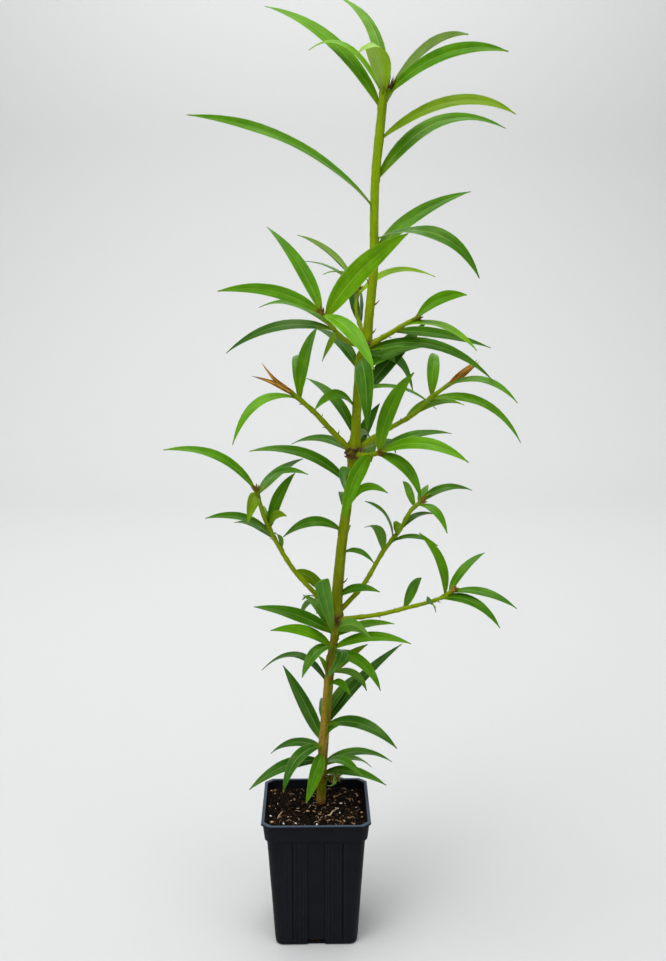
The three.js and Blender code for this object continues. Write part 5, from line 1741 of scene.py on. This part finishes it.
# ---------- leaf cushions ----------
# Under the stalk of each leaf the bark is raised in a low green cushion that runs down the stem
# and fades out. It is part of the bark, and a little brighter than the bark round it.
cushion_recipe, cushion_in, cushion_out = new_recipe(
    "leaf_cushions", (("Length", FLOAT), ("Width", FLOAT), ("Height", FLOAT)), ("Bark",))
cushion_ball = put(cushion_recipe, "GeometryNodeMeshUVSphere", {
    "Segments": 10, "Rings": 8, "Radius": 0.5})
cushion_form = put(cushion_recipe, "ShaderNodeCombineXYZ")
cushion_shape = put(cushion_recipe, "GeometryNodeTransform")
cushion_turn = kept_value(cushion_recipe, "turn", "FLOAT_VECTOR")
cushion_set = put(cushion_recipe, "GeometryNodeInstanceOnPoints")
cushion_real = put(cushion_recipe, "GeometryNodeRealizeInstances")
cushion_smooth = put(cushion_recipe, "GeometryNodeSetShadeSmooth")
cushion_bark = put(cushion_recipe, "GeometryNodeSetMaterial")
wire(
    cushion_recipe,
    (cushion_in, "Height", cushion_form, "X"),
    (cushion_in, "Width", cushion_form, "Y"),
    (cushion_in, "Length", cushion_form, "Z"),
    (cushion_ball, "Mesh", cushion_shape, "Geometry"),
    (cushion_form, "Vector", cushion_shape, "Scale"),
    (cushion_in, "Geometry", cushion_set, "Points"),
    (cushion_shape, "Geometry", cushion_set, "Instance"),
    (cushion_turn, "Attribute", cushion_set, "Rotation"),
    (cushion_set, "Instances", cushion_real, "Geometry"),
    (cushion_real, "Geometry", cushion_smooth, "Geometry"),
    (cushion_smooth, "Geometry", cushion_bark, "Geometry"),
    (cushion_in, "Bark", cushion_bark, "Material"),
    (cushion_bark, "Geometry", cushion_out, "Geometry"))


CUSHION_LENGTH, CUSHION_WIDTH, CUSHION_HEIGHT = 10, 2.4, 1.9
CUSHION_SINK, CUSHION_DROP = 0.35, 2.6
NODE_RADIUS_SHARE = 0.93        # a bough's radius among its leaves, as a share of the one before


def cushion_at(middle, axis, radius, row):
    """The place and turn of the cushion under the stalk of a leaf."""
    start = leaf_bend(row)[0].normalized()
    outward = start - axis * start.dot(axis)
    way = outward.normalized()
    leaves_at = middle + start * (radius / max(outward.length, 0.15))
    place = leaves_at - way * CUSHION_SINK - axis * CUSHION_DROP
    return place * MM, Matrix((way, axis.cross(way), axis)).transposed().to_euler()


cushions = []
for name in (*TIERS, *TUFTS):
    for foot, row in grown_leaves(name):
        if name in TIERS:
            radius = trunk_at(row[0])[1]
            axis = (trunk_at(row[0] + 1)[0] - trunk_at(row[0] - 1)[0]).normalized()
        else:
            radius = BOUGHS[name]["radius"][1] * NODE_RADIUS_SHARE
            axis = bough_paths[name].heading(min(row[0], 0.98))
        cushions.append(cushion_at(foot, axis, radius, row))
cushion_piece = new_piece("leaf_cushions", [place for place, _ in cushions], [])
turns = cushion_piece.data.attributes.new("turn", "FLOAT_VECTOR", "POINT")
turns.data.foreach_set("vector", [angle for _, turn in cushions for angle in turn])
cushion_green = grained_finish(
    "cushion_green", [(0.3, paint(92, 112, 4)), (0.7, paint(124, 144, 10))], (0.5, 0.6),
    clouds=200, specks=1300, speck_share=0.4, bump=0.4, bump_depth=0.15)
follow_recipe(cushion_piece, cushion_recipe, {
    "Length": CUSHION_LENGTH * MM, "Width": CUSHION_WIDTH * MM, "Height": CUSHION_HEIGHT * MM,
    "Bark": cushion_green})
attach(cushion_piece, "root")
